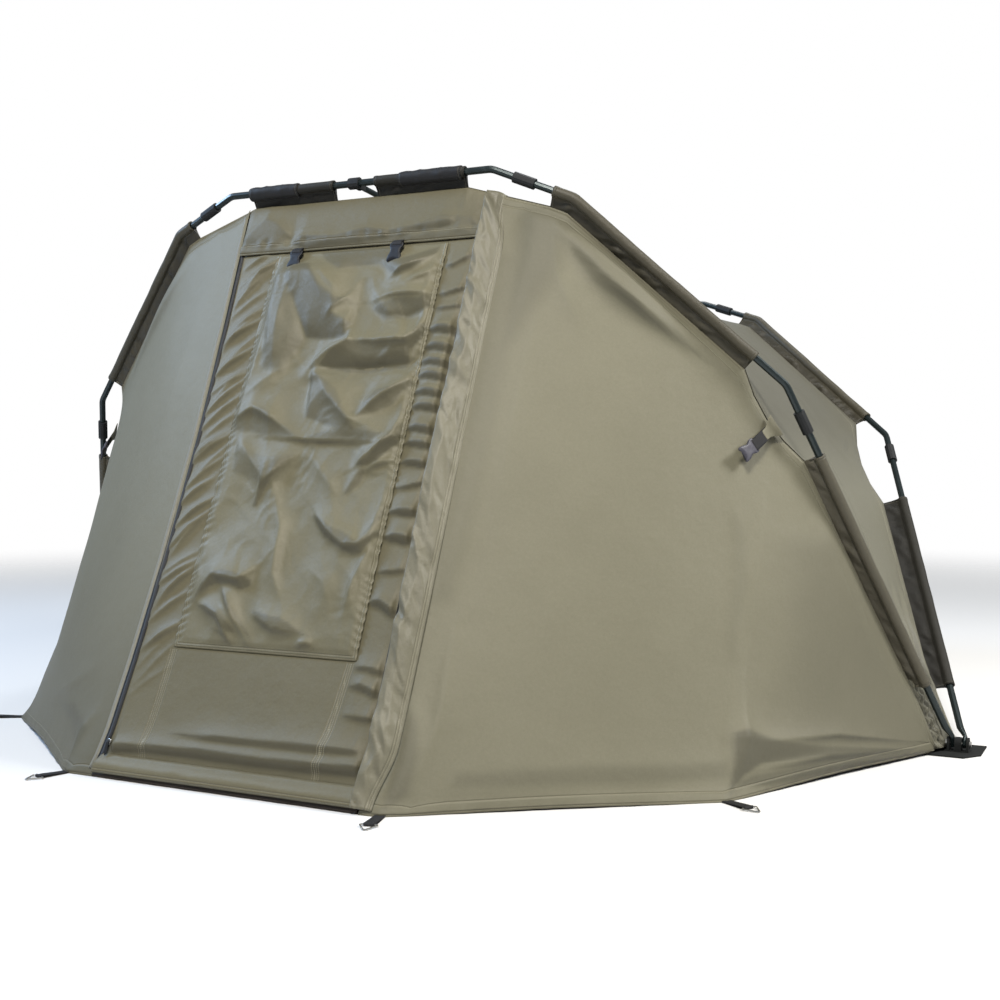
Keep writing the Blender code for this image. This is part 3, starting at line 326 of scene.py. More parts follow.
def clothFinish(name, tones, thread, roughness=0.5, rows=(), edgeTone=0.0, crinkle=0.35):
    # Colour: two tones mixed by large soft noise and small mottling, darker beside sewn edges, and darkened
    # by painted shade where the shade attribute marks folds, with stitches as dashes at set distances from
    # the edge. Bump: a plain weave as the product of two sines, fine crinkles and a groove under each row.
    look = clothLook
    light, dark = tones
    material, tree, shader = newFinish(name, roughness, 0.03, specular=0.32)
    place = node(tree, "TexCoord").outputs["Object"]
    metres = node(tree, "UVMap", uv_map="metres").outputs["UV"]
    split = node(tree, "SeparateXYZ", {0: metres})
    edge, along, shade = (
        node(tree, "Attribute", attribute_name=word).outputs["Fac"] for word in ("edge", "along", "shade")
    )

    large = noiseMap(tree, place, look["largeScale"], 4.0, 0.6)
    small = noiseMap(tree, place, look["smallScale"], 5.0, 0.8)
    share = sums(tree, "ADD", sums(tree, "MULTIPLY", large, look["largeGain"]), look["toneShift"])
    share = sums(tree, "ADD", share, sums(tree, "MULTIPLY", small, look["smallGain"]))
    colour = blendColours(tree, node(tree, "Clamp", {0: share}).outputs[0], light, dark)

    turn = math.tau / look["weavePitch"]
    warp, weft = (sums(tree, "SINE", sums(tree, "MULTIPLY", split.outputs[axis], turn)) for axis in (0, 1))
    weave = sums(tree, "MULTIPLY", warp, weft)
    gain, shift = look["weaveTone"]
    weaveTone = sums(tree, "ADD", sums(tree, "MULTIPLY", weave, gain), shift)
    colour = blendColours(tree, weaveTone, colour, scaled(dark, look["weaveDark"]))
    worn = node(tree, "MapRange", {0: edge, 1: 0.0, 2: look["wornReach"], 3: edgeTone, 4: 0.0}, clamp=True)
    colour = blendColours(tree, worn.outputs[0], colour, scaled(dark, look["wornDark"]))
    # Painted shade: the shade attribute blends the colour towards a darker tone
    folded = sums(tree, "MULTIPLY", shade, look["foldShade"])
    colour = blendColours(tree, folded, colour, scaled(dark, look["foldShadeTone"]))

    groove = None
    for distance in rows:
        off = sums(tree, "ABSOLUTE", sums(tree, "SUBTRACT", edge, distance))
        near = sums(tree, "LESS_THAN", off, look["stitchHalf"])
        beat = sums(tree, "FRACT", sums(tree, "DIVIDE", along, look["stitchPitch"]))
        dash = sums(tree, "LESS_THAN", beat, look["stitchShare"])
        colour = blendColours(tree, sums(tree, "MULTIPLY", near, dash), colour, thread)
        dip = node(tree, "MapRange", {0: off, 1: 0.0, 2: look["grooveHalf"], 3: -1.0, 4: 0.0})
        dip.interpolation_type = "SMOOTHSTEP"
        groove = dip.outputs[0] if groove is None else sums(tree, "ADD", groove, dip.outputs[0])
    tree.links.new(colour, shader.inputs["Base Color"])

    wrinkles = noiseMap(tree, place, look["wrinkleScale"], 5.0, 0.55)
    normal = None
    for height, strength, depth in (
        (wrinkles, crinkle, look["wrinkleDepth"]),
        (weave, 0.25, look["weaveDepth"]),
        (groove, 0.8, look["grooveDepth"]),
    ):
        if height is not None:
            bump = node(tree, "Bump", {"Height": height, "Strength": strength, "Distance": depth})
            if normal is not None:
                tree.links.new(normal, bump.inputs["Normal"])
            normal = bump.outputs[0]
    tree.links.new(normal, shader.inputs["Normal"])
    return material


webbingLook = {"ribPitch": 0.0022, "zigzagPitch": 0.0016, "fluffScale": 240.0, "depth": 0.0004}


def webbingFinish(name, colour):
    # Narrow ribs along the strap and a fine zigzag across, both sines, with a little lighter fluff
    look = webbingLook
    material, tree, shader = newFinish(name, 0.7, specular=0.3)
    metres = node(tree, "UVMap", uv_map="metres").outputs["UV"]
    split = node(tree, "SeparateXYZ", {0: metres})
    rib = sums(tree, "SINE", sums(tree, "MULTIPLY", split.outputs[0], math.tau / look["ribPitch"]))
    slant = sums(tree, "ADD", split.outputs[1], sums(tree, "PINGPONG", split.outputs[0], look["ribPitch"]))
    zigzag = sums(tree, "SINE", sums(tree, "MULTIPLY", slant, math.tau / look["zigzagPitch"]))
    height = sums(tree, "ADD", sums(tree, "MULTIPLY", zigzag, 0.4), rib)
    place = node(tree, "TexCoord").outputs["Object"]
    fluff = noiseMap(tree, place, look["fluffScale"], 4.0)
    tone = blendColours(tree, sums(tree, "MULTIPLY", fluff, 0.6), colour, scaled(colour, 2.2))
    coat(tree, shader, tone, height, 0.6, look["depth"])
    return material


mouldedLook = {"grainScale": 900.0, "grainDepth": 0.0003, "scuffScale": 38.0}


def mouldedFinish(name, colour, roughness):
    # Moulded plastic: a fine spark-eroded grain and faint scuffs
    look = mouldedLook
    material, tree, shader = newFinish(name, roughness, specular=0.32)
    place = node(tree, "TexCoord").outputs["Object"]
    grain = noiseMap(tree, place, look["grainScale"], 3.0)
    scuffs = noiseMap(tree, place, look["scuffScale"], 8.0, 0.75)
    worn = node(tree, "MapRange", {0: scuffs, 1: 0.52, 2: 0.72, 3: 0.0, 4: 0.55}, clamp=True)
    tone = blendColours(tree, worn.outputs[0], colour, tuple(c * 1.9 + 0.006 for c in colour))
    rough = node(tree, "MapRange", {0: scuffs, 3: roughness - 0.08, 4: roughness + 0.16})
    tree.links.new(rough.outputs[0], shader.inputs["Roughness"])
    coat(tree, shader, tone, grain, 0.35, look["grainDepth"])
    return material


poleLook = {
    "streakScale": 34.0,
    "streakDepth": 0.0006,
    "rubbed": (0.12, 0.14, 0.14),
    "roughness": (0.28, 0.46),
}


def poleFinish(name, colour):
    # Coated tube: dark green-grey paint over metal, fine streaks, brighter where it rubs
    look = poleLook
    material, tree, shader = newFinish(name, look["roughness"][0], metallic=0.55)
    place = node(tree, "TexCoord").outputs["Object"]
    streaks = noiseMap(tree, place, look["streakScale"], 7.0, 0.7)
    worn = node(tree, "MapRange", {0: streaks, 1: 0.60, 2: 0.80, 3: 0.0, 4: 0.4}, clamp=True)
    tone = blendColours(tree, worn.outputs[0], colour, look["rubbed"])
    rough = node(tree, "MapRange", {0: streaks, 3: look["roughness"][0], 4: look["roughness"][1]})
    tree.links.new(rough.outputs[0], shader.inputs["Roughness"])
    shader.inputs["Coat Weight"].default_value = 0.2
    shader.inputs["Coat Roughness"].default_value = 0.12
    coat(tree, shader, tone, streaks, 0.15, look["streakDepth"])
    return material


steelLook = {
    "scratchScale": 420.0,
    "scratchDepth": 0.0002,
    "patchScale": 60.0,
    "bright": (0.62, 0.62, 0.60),
    "dull": (0.36, 0.36, 0.35),
}


def steelFinish(name):
    # Plated steel wire and rivets: bright, with fine scratches and dull patches
    look = steelLook
    material, tree, shader = newFinish(name, 0.24, metallic=1.0)
    place = node(tree, "TexCoord").outputs["Object"]
    scratches = noiseMap(tree, place, look["scratchScale"], 6.0)
    patches = noiseMap(tree, place, look["patchScale"], 4.0)
    tone = blendColours(tree, patches, look["bright"], look["dull"])
    rough = node(tree, "MapRange", {0: patches, 3: 0.16, 4: 0.42})
    tree.links.new(rough.outputs[0], shader.inputs["Roughness"])
    coat(tree, shader, tone, scratches, 0.2, look["scratchDepth"])
    return material


zipTapeLook = {"teethPitch": 0.0022, "teethInset": 0.0055, "knitPitch": 0.0014, "depth": 0.0006}


def zipFinish(name, colour):
    # Knitted tape with a row of coil teeth down its middle: the map's first place runs across the tape
    look = zipTapeLook
    material, tree, shader = newFinish(name, 0.55, specular=0.4)
    metres = node(tree, "UVMap", uv_map="metres").outputs["UV"]
    split = node(tree, "SeparateXYZ", {0: metres})
    teeth = sums(tree, "SINE", sums(tree, "MULTIPLY", split.outputs[1], math.tau / look["teethPitch"]))
    edge = node(tree, "Attribute", attribute_name="edge").outputs["Fac"]
    middle = sums(tree, "GREATER_THAN", edge, look["teethInset"])
    knit = sums(tree, "SINE", sums(tree, "MULTIPLY", split.outputs[0], math.tau / look["knitPitch"]))
    height = sums(tree, "ADD", sums(tree, "MULTIPLY", teeth, middle), sums(tree, "MULTIPLY", knit, 0.25))
    tone = sums(tree, "MULTIPLY", sums(tree, "ADD", sums(tree, "MULTIPLY", teeth, 0.5), 0.5), middle)
    coat(tree, shader, blendColours(tree, tone, colour, scaled(colour, 3.0)), height, 0.7, look["depth"])
    return material


# Olive coated cloth in its several lights, as linear colours. The olive tones of khaki, roof, door, cover,
# flap, sleeve and legSleeve are one cloth made lighter or darker as painted light and shade for the light
# each part stands in
shades = {
    "khaki": ((0.150, 0.142, 0.098), (0.124, 0.117, 0.079)),
    "roof": ((0.156, 0.152, 0.115), (0.131, 0.126, 0.093)),
    "door": ((0.126, 0.115, 0.072), (0.101, 0.091, 0.054)),
    "cover": ((0.142, 0.131, 0.083), (0.113, 0.103, 0.062)),
    "flap": ((0.146, 0.138, 0.099), (0.117, 0.110, 0.077)),
    "sleeve": ((0.056, 0.050, 0.033), (0.039, 0.035, 0.023)),
    "legSleeve": ((0.074, 0.067, 0.047), (0.053, 0.048, 0.033)),
    "deepSleeve": ((0.013, 0.012, 0.008), (0.009, 0.008, 0.005)),
    "binding": ((0.190, 0.190, 0.168), (0.150, 0.150, 0.130)),
    "ground": ((0.030, 0.021, 0.015), (0.018, 0.013, 0.010)),
    "wrap": ((0.009, 0.009, 0.010), (0.005, 0.005, 0.006)),
    "thread": (0.185, 0.172, 0.120),
    "darkThread": (0.060, 0.056, 0.040),
}
hemRows, edgeRows = (0.004, 0.026), (0.003, 0.009)  # stitch rows, as distances from the sewn edge
clothKinds = {  # tones, thread, roughness, stitch rows, and what else differs
    "khaki": ("khaki", "thread", 0.55, hemRows, {"edgeTone": 0.10, "crinkle": 0.2}),
    "roof": ("roof", "thread", 0.50, hemRows, {"edgeTone": 0.12, "crinkle": 0.2}),
    "door": ("door", "thread", 0.52, edgeRows, {}),
    "cover": ("cover", "thread", 0.47, edgeRows, {}),
    "header": ("door", "thread", 0.52, hemRows, {}),
    "flap": ("flap", "thread", 0.43, (0.008, 0.014), {}),
    "sleeve": ("sleeve", "darkThread", 0.50, (0.006,), {}),
    "legSleeve": ("legSleeve", "darkThread", 0.50, (0.006,), {}),
    "deepSleeve": ("deepSleeve", "darkThread", 0.66, (0.006,), {}),
    "binding": ("binding", "thread", 0.60, (0.002,), {}),
    "ground": ("ground", "darkThread", 0.60, (0.004,), {}),
    "wrap": ("wrap", "darkThread", 0.60, (0.004,), {}),
}
finishes = {
    name: clothFinish(name + "Cloth", shades[tones], shades[thread], roughness, rows, **facts)
    for name, (tones, thread, roughness, rows, facts) in clothKinds.items()
} | {
    "webbing": webbingFinish("blackWebbing", (0.010, 0.010, 0.011)),
    "plastic": mouldedFinish("blackPlastic", (0.007, 0.008, 0.009), 0.55),
    "buckle": mouldedFinish("bucklePlastic", (0.006, 0.007, 0.011), 0.50),
    "greyBuckle": mouldedFinish("greyBucklePlastic", (0.042, 0.041, 0.054), 0.42),
    "groundPlate": mouldedFinish("groundPlate", (0.005, 0.006, 0.006), 0.85),
    "pole": poleFinish("coatedPole", (0.014, 0.022, 0.023)),
    "steel": steelFinish("platedSteel"),
    "zip": zipFinish("zipTape", (0.012, 0.014, 0.018)),
}
print("finishes made")


# Meshes
def gridFaces(rows, columns, wrap=False):  # four-cornered faces of a grid, joined round if wrap is set
    index = np.arange(rows * columns).reshape(rows, columns)
    if wrap:
        index = np.concatenate([index, index[:, :1]], axis=1)
    corners = index[:-1, :-1], index[:-1, 1:], index[1:, 1:], index[1:, :-1]
    return np.stack(corners, axis=-1).reshape(-1, 4)


def volumeOf(points, faces):  # the sum of signed tetrahedra on each face's two halves
    a, b, c, d = (points[faces[:, k]] for k in range(4))
    return np.sum(a * np.cross(b, c)) + np.sum(a * np.cross(c, d))


def twice(values):  # the same values for the outer skin and for the inner one
    return np.concatenate([values, values])


def endCaps(rows, columns):  # the first and the last ring, both turned outwards
    last = (rows - 1) * columns
    return [list(range(columns))[::-1], list(range(last, last + columns))]


def makePiece(name, points, faces, finish, body, metres, edge=None, along=None, shade=None, caps=()):
    # Points and faces become a mesh, turned round if its signed volume is negative. Its corners carry the map
    # in metres, and its points the distance to a sewn edge, the length along that edge and the shade.
    points = np.asarray(points, float).reshape(-1, 3)
    middle = points.mean(axis=0)
    if volumeOf(points - middle, faces) < 0:
        faces = faces[:, ::-1]
        caps = [cap[::-1] for cap in caps]
    mesh = bpy.data.meshes.new(name)
    mesh.from_pydata(points.tolist(), [], faces.tolist() + [list(cap) for cap in caps])
    mesh.polygons.foreach_set("use_smooth", np.ones(len(mesh.polygons), bool))
    corners = np.zeros(len(mesh.loops), int)
    mesh.loops.foreach_get("vertex_index", corners)
    layer = mesh.uv_layers.new(name="metres")
    layer.data.foreach_set("uv", np.asarray(metres, float).reshape(-1, 2)[corners].ravel())
    for key, values, plain in (("edge", edge, 1.0), ("along", along, 1.0), ("shade", shade, 0.0)):
        values = np.full(len(points), plain) if values is None else np.asarray(values, float).ravel()
        mesh.attributes.new(key, "FLOAT", "POINT").data.foreach_set("value", values)
    mesh.materials.append(finishes[finish])
    mesh.update()
    item = bpy.data.objects.new(name, mesh)
    bpy.context.scene.collection.objects.link(item)
    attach(item, body)
    return item


def assign(item, node=None, folds=None):  # a piece that folds gets its own copy of its mesh, and the frame node it stands for is hidden
    if folds:
        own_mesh(item)
    if node:
        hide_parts(node)


def sewnEdges(grid, sides):  # distance to the nearest named side, and the length along that side
    across, up = runs(grid)
    choices = {
        "left": (across, up),
        "right": (across[:, -1:] - across, up),
        "low": (up, across),
        "high": (up[-1:] - up, across),
    }
    distance = np.full(across.shape, 1.0)
    length = np.zeros(across.shape)
    for side in sides:
        closer = choices[side][0] < distance
        length = np.where(closer, choices[side][1], length)
        distance = np.where(closer, choices[side][0], distance)
    return distance, length


def clothPiece(name, grid, relief, finish, body, sides=(), sewn=None, shade=0.0, **facts):
    # The grid's points move out along their normals by the relief. The lining is the same sheet one
    # thickness further in, and a rim joins the two all round.
    thick = tent["clothThick"]
    shade = np.broadcast_to(shade, grid.shape[:2])
    normals = facing(grid)
    outward = np.mean(np.sum(normals * (grid - np.array((0, 0, 0.4))), axis=-1))
    if outward < 0:
        grid, normals = grid[:, ::-1], -normals[:, ::-1]
        relief = relief[:, ::-1] if np.ndim(relief) else relief
        shade = shade[:, ::-1]
        sewn = tuple(part[:, ::-1] for part in sewn) if sewn else None
    outer = grid + normals * np.broadcast_to(relief, grid.shape[:2])[..., None]
    inner = outer - facing(outer) * thick
    rows, columns = grid.shape[:2]
    count = rows * columns
    index = np.arange(count).reshape(rows, columns)
    loop = np.concatenate([index[0], index[1:, -1], index[-1, -2::-1], index[-2:0:-1, 0]])
    after = np.roll(loop, -1)
    rim = np.stack([loop, loop + count, after + count, after], axis=-1)
    front = gridFaces(rows, columns)
    faces = np.concatenate([front, front[:, ::-1] + count, rim])
    distance, length = sewn if sewn else sewnEdges(grid, sides)
    metres = np.stack(runs(grid), axis=-1)
    item = makePiece(
        name,
        np.concatenate([outer.reshape(-1, 3), inner.reshape(-1, 3)]),
        faces,
        finish,
        body,
        twice(metres.reshape(-1, 2)),
        twice(distance.ravel()),
        twice(length.ravel()),
        twice(shade.ravel()),
    )
    width, height = metres[..., 0].max(), metres[..., 1].max()
    cross = np.cross(np.diff(grid, axis=1)[:-1], np.diff(grid, axis=0)[:, :-1])
    area = float(np.linalg.norm(cross, axis=-1).sum())
    area = min(max(area, 0.31 * width * height), width * height)
    return item


def loftPiece(name, rings, finish, body, metres=None):
    # Rings of points joined one to the next, with a flat cap on each end ring
    rings = np.asarray(rings, float)
    rows, columns = rings.shape[:2]
    faces = gridFaces(rows, columns, wrap=True)
    if metres is None:
        metres = np.stack(runs(rings), axis=-1)
    return makePiece(name, rings, faces, finish, body, metres, caps=endCaps(rows, columns))


def roundedRing(halfWidth, halfHeight, corner, count):
    # A rounded oblong: cosine and sine of the turn, each raised to a power below one but keeping its sign
    turn = np.linspace(0, math.tau, count, endpoint=False)
    across = np.sign(np.cos(turn)) * np.abs(np.cos(turn)) ** corner * halfWidth
    up = np.sign(np.sin(turn)) * np.abs(np.sin(turn)) ** corner * halfHeight
    return across, up


# Camera, lights and floor
cameraPlace = {
    "position": (2.0052, -3.7191, 0.7955),
    "pitch": -0.03510,
    "turn": 0.46750,
    "lens": 48.464,
    "sensor": 36.0,
}


def makeCamera():
    data = bpy.data.cameras.new("photoCamera")
    data.lens = cameraPlace["lens"]
    data.sensor_width = cameraPlace["sensor"]
    camera = bpy.data.objects.new("photoCamera", data)
    camera.location = cameraPlace["position"]
    camera.rotation_euler = (math.pi / 2 + cameraPlace["pitch"], 0, cameraPlace["turn"])
    bpy.context.scene.collection.objects.link(camera)
    bpy.context.scene.camera = camera


studio = {
    "skyStrength": 0.24,
    "skyColour": (0.90, 0.95, 1.0),
    "backdropStrength": 1.0,
    "floorColour": (0.62, 0.62, 0.62),
    "floorHalf": 9.0,
    "floorFade": (3.2, 8.0),
    "lamps": {  # place, aim, side in metres, power in watts, colour
        "frontKey": ((1.8, -5.0, 5.8), (0.2, -0.7, 0.6), 1.4, 610, (1.0, 0.96, 0.89)),
        "rightSide": ((5.0, 0.4, 4.0), (0.8, 0.2, 0.7), 1.6, 310, (1.0, 0.98, 0.94)),
        "leftSky": ((-4.8, -1.7, 4.2), (-0.8, -0.7, 1.3), 1.6, 260, (0.50, 0.70, 1.0)),
        "topSky": ((-0.4, 3.2, 5.2), (0.0, 0.3, 0.6), 2.0, 90, (0.96, 0.98, 1.0)),
    },
}


def makeWorld():  # a dim sky lights the shelter, and the picture's own backdrop is plain white
    world = bpy.data.worlds.new("paleStudio")
    world.use_nodes = True
    tree = world.node_tree
    tree.nodes.clear()
    sky = node(tree, "Background", {"Strength": studio["skyStrength"]})
    seen = node(tree, "Background", {"Strength": studio["backdropStrength"]})
    sky.inputs["Color"].default_value = (*studio["skyColour"], 1.0)
    seen.inputs["Color"].default_value = (1.0, 1.0, 1.0, 1.0)
    direct = node(tree, "LightPath").outputs["Is Camera Ray"]
    both = node(tree, "MixShader", {0: direct, 1: sky.outputs[0], 2: seen.outputs[0]})
    node(tree, "OutputWorld", {"Surface": both.outputs[0]})
    bpy.context.scene.world = world
    bpy.context.scene.view_settings.view_transform = "Standard"


def makeFloor():  # pale, and clear towards its edge so that it melts into the backdrop
    half = studio["floorHalf"]
    mesh = bpy.data.meshes.new("paleFloor")
    corners = [(-half, -half, 0), (half, -half, 0), (half, half, 0), (-half, half, 0)]
    mesh.from_pydata(corners, [], [(0, 1, 2, 3)])
    material, tree, shader = newFinish("floorPaint", 0.9)
    shader.inputs["Base Color"].default_value = (*studio["floorColour"], 1.0)
    place = node(tree, "TexCoord").outputs["Object"]
    distance = node(tree, "VectorMath", {0: place}, operation="LENGTH").outputs["Value"]
    near, far = studio["floorFade"]
    fade = node(tree, "MapRange", {0: distance, 1: near, 2: far, 3: 1.0, 4: 0.0})
    fade.interpolation_type = "SMOOTHSTEP"
    tree.links.new(fade.outputs[0], shader.inputs["Alpha"])
    mesh.materials.append(material)
    floor = bpy.data.objects.new("paleFloor", mesh)
    bpy.context.scene.collection.objects.link(floor)


def makeLamps():
    for name, (place, aim, side, power, colour) in studio["lamps"].items():
        data = bpy.data.lights.new(name, "AREA")
        data.size = side
        data.energy = power
        data.color = colour
        lamp = bpy.data.objects.new(name, data)
        lamp.location = place
        lamp.rotation_euler = (Vector(aim) - Vector(place)).to_track_quat("-Z", "Y").to_euler()
        bpy.context.scene.collection.objects.link(lamp)


makeCamera()
makeWorld()
makeFloor()
makeLamps()
print("camera, lights and floor made")

# The door's slope: across, up the slope, and out of it
doorHead = frontRib.seam(np.array(0.0), tent["webDepth"] + tent["seamAllowance"], tent["seamForward"])
doorHead[0] = 0.0
doorFoot = np.array((0.0, -tent["doorDepth"], 0.0))
slope = unit(doorHead - doorFoot)
slopeOut = np.array((0.0, -slope[2], slope[1]))
slopeLength = float(np.linalg.norm(doorHead - doorFoot))


def doorSpace(x, rise, out=0.0):  # the door's foot plus lengths across, up the slope and out of it
    x, rise, out = np.broadcast_arrays(x, rise, out)
    across = x[..., None] * np.array((1.0, 0, 0))
    return doorFoot + across + rise[..., None] * slope + out[..., None] * slopeOut


zipBow = {
    "rise": [0, 0.06, 0.12, 0.30, 0.57, 0.92, 1.25, 1.61],
    "right": [-0.030, -0.015, -0.006, 0.005, 0.014, 0.014, 0.002, -0.016],
}


def zipLine(edge, rise):  # the left zip wanders a little either way as the cloth pulls on it
    bow = np.interp(rise, zipBow["rise"], zipBow["right"]) if edge < 0 else rise * 0
    return edge + bow


# Cloth seams on the ribs. The front cloth laps the sleeve's web on its front face, the roof on its back
seamLook = {
    "depth": 0.041,
    "rearLegDepths": (0.057, 0.046),
    "lap": 0.0037,
    "hipSag": 0.024,
    "hemDrop": 0.004,
    "foot": {-1: (1.438, -0.050, 0.012), 1: (1.480, 0.060, 0.012)},
}


def seamKeys(rib, leg, forward, footSide):  # where a seam turns, from the ridge's middle to the foot
    lengths = np.array(
        [
            0,
            rib.ridgeBend - sleeveRuns["topBeforeBend"],
            rib.shoulderBend - sleeveRuns["shoulderBeforeBend"],
            rib.shoulderBend,
            rib.hipBend - sleeveRuns["shoulderBeforeHip"],
            rib.hipBend + leg[0],
            rib.hipBend + leg[1],
        ]
    )
    depths = np.full((len(lengths), 1), seamLook["depth"])
    if rib is rearRib:
        depths[-2:, 0] = seamLook["rearLegDepths"]
    points = rib.seam(lengths, depths, forward)
    # Between the sleeves the cloth's edge is free and sags in, as a parabola
    share = np.array((0.25, 0.5, 0.75))[:, None]
    bare = points[4] * (1 - share) + points[5] * share
    chord = unit(points[5] - points[4])
    bare = bare + np.cross(chord, rib.front) * seamLook["hipSag"] * 4 * share * (1 - share)
    return np.vstack([points[:5], bare, points[5:], seamLook["foot"][footSide]])


def hemFoot(side):  # where a hem ends, just under the seam's foot
    return np.array(seamLook["foot"][side]) - (0, 0, seamLook["hemDrop"])


def foldOf(rib, joint, keep):  # a fold's joint, its axis square to the rib's plane, its anchor at the pivot and the kept thickness
    axis = -rib.front if rib is frontRib else rib.front
    return {"joint": joint, "axis": tuple(axis), "anchor": pivot, "keep": keep}


def frontSeamAt(x):  # the front seam's place at a distance across
    points = seamKeys(frontRib, sleeveRuns["frontLeg"], seamLook["lap"], -1)
    return np.stack([x, *(np.interp(np.abs(x), points[:, 0], points[:, k]) for k in (1, 2))], axis=-1)


# Front side panels, each from its zip to its foot
panelShape = {
    "hemShares": [0, 0.07, 0.56, 1],
    "seamShares": [0, 0.10, 0.16, 0.56, 0.60, 0.64, 0.68, 0.72, 0.94, 1],
    "keys": [0, 0.07, 0.10, 0.16, 0.56, 0.60, 0.64, 0.68, 0.72, 0.94, 0.995],
    "counts": [8, 12, 7, 62, 8, 8, 8, 8, 60, 14],
    "rows": 150,
    "rounds": 900,
    "zipGap": 0.004,
    "keep": 0.058,
    "frontCorner": (0.4585, -1.240),
    "sideCorner": (1.098, -0.774),
    "hemArches": {1: [0.0, 0.004, 0.005], -1: [0.0, 0.014, 0.010]},
}


def sidePanelGrid(side, zipEdge):
    # Straight lines from hem to seam, drawn taut. The hem arches up by the square of a half sine.
    shape = panelShape
    start = abs(zipEdge) + shape["zipGap"]
    hem = [(start, -tent["doorDepth"], 0), (*shape["frontCorner"], 0), (*shape["sideCorner"], 0), hemFoot(-1)]
    keys = seamKeys(frontRib, sleeveRuns["frontLeg"], seamLook["lap"], -1)
    seam = np.vstack([frontSeamAt(np.array(start)), keys[keys[:, 0] > start + 0.001]])
    at = spread(shape["keys"], shape["counts"])
    low = pick(hem, shape["hemShares"], at)
    for a, b, arch in zip(shape["hemShares"], shape["hemShares"][1:], shape["hemArches"][side]):
        low[:, 2] += arch * hump(at, a, b) * (at > a) * (at < b)
    high = pick(seam, shape["seamShares"], at)
    share = np.linspace(0, 1, shape["rows"])[:, None, None]
    grid = low * (1 - share) + high * share
    grid[:, 0, 0] = side * zipLine(zipEdge, share[:, 0, 0] * slopeLength) + shape["zipGap"]
    grid = relax(grid, shape["rounds"])
    return grid * np.array((side, 1.0, 1.0)), at


# Creases of the two panels in front view: path, width on its left hand, width on its right hand, height
panelCreases = {
    1: [
        ([(0.6, 1.35), (0.7, 1.24), (0.8, 1.14), (0.9, 1.06)], 0.06, 0.013, 0.02),
        ([(0.64, 1.345), (0.73, 1.285), (0.83, 1.2)], 0.03, 0.01, 0.013),
        ([(0.66, 1.255), (0.76, 1.18), (0.86, 1.1)], 0.022, 0.014, 0.008),
        ([(0.585, 1.33), (0.6, 1.24), (0.66, 1.12)], 0.04, 0.03, 0.009),
        ([(0.88, 1.12), (0.97, 1.05), (1.03, 0.96)], 0.026, 0.014, 0.01),
        ([(0.575, 1.25), (0.56, 0.95), (0.555, 0.62)], 0.12, 0.06, 0.014),
        ([(0.52, 0.4), (0.525, 0.2), (0.505, 0.02)], 0.06, 0.028, 0.014),
        ([(1.085, 0.72), (1.085, 0.5), (1.095, 0.25)], 0.05, 0.016, 0.007),
        ([(1.08, 0.3), (1.1, 0.12), (1.105, 0.01)], 0.02, 0.04, 0.014),
        ([(1.13, 0.115), (1.25, 0.1), (1.39, 0.045)], 0.034, 0.012, 0.014),
        ([(1.125, 0.055), (1.24, 0.055), (1.37, 0.03)], 0.014, 0.01, 0.011),
        ([(1.18, 0.64), (1.24, 0.45), (1.3, 0.25)], 0.016, 0.02, 0.006),
        ([(1.23, 0.52), (1.3, 0.3), (1.37, 0.1)], 0.018, 0.022, 0.006),
    ],
    -1: [
        ([(0.6, 1.345), (0.72, 1.215), (0.86, 1.08)], 0.05, 0.02, 0.012),
        ([(0.64, 1.345), (0.73, 1.285), (0.83, 1.2)], 0.03, 0.012, 0.008),
        ([(0.47, 1.3), (0.5, 1.0), (0.52, 0.7)], 0.1, 0.08, 0.005),
        ([(0.48, 0.25), (0.62, 0.18), (0.78, 0.12)], 0.04, 0.03, 0.008),
        ([(0.42, 0.16), (0.46, 0.09), (0.47, 0.01)], 0.024, 0.02, 0.008),
        ([(1.06, 0.25), (1.085, 0.12), (1.1, 0.01)], 0.02, 0.04, 0.01),
        ([(1.12, 0.09), (1.25, 0.08), (1.38, 0.05)], 0.02, 0.014, 0.009),
    ],
}
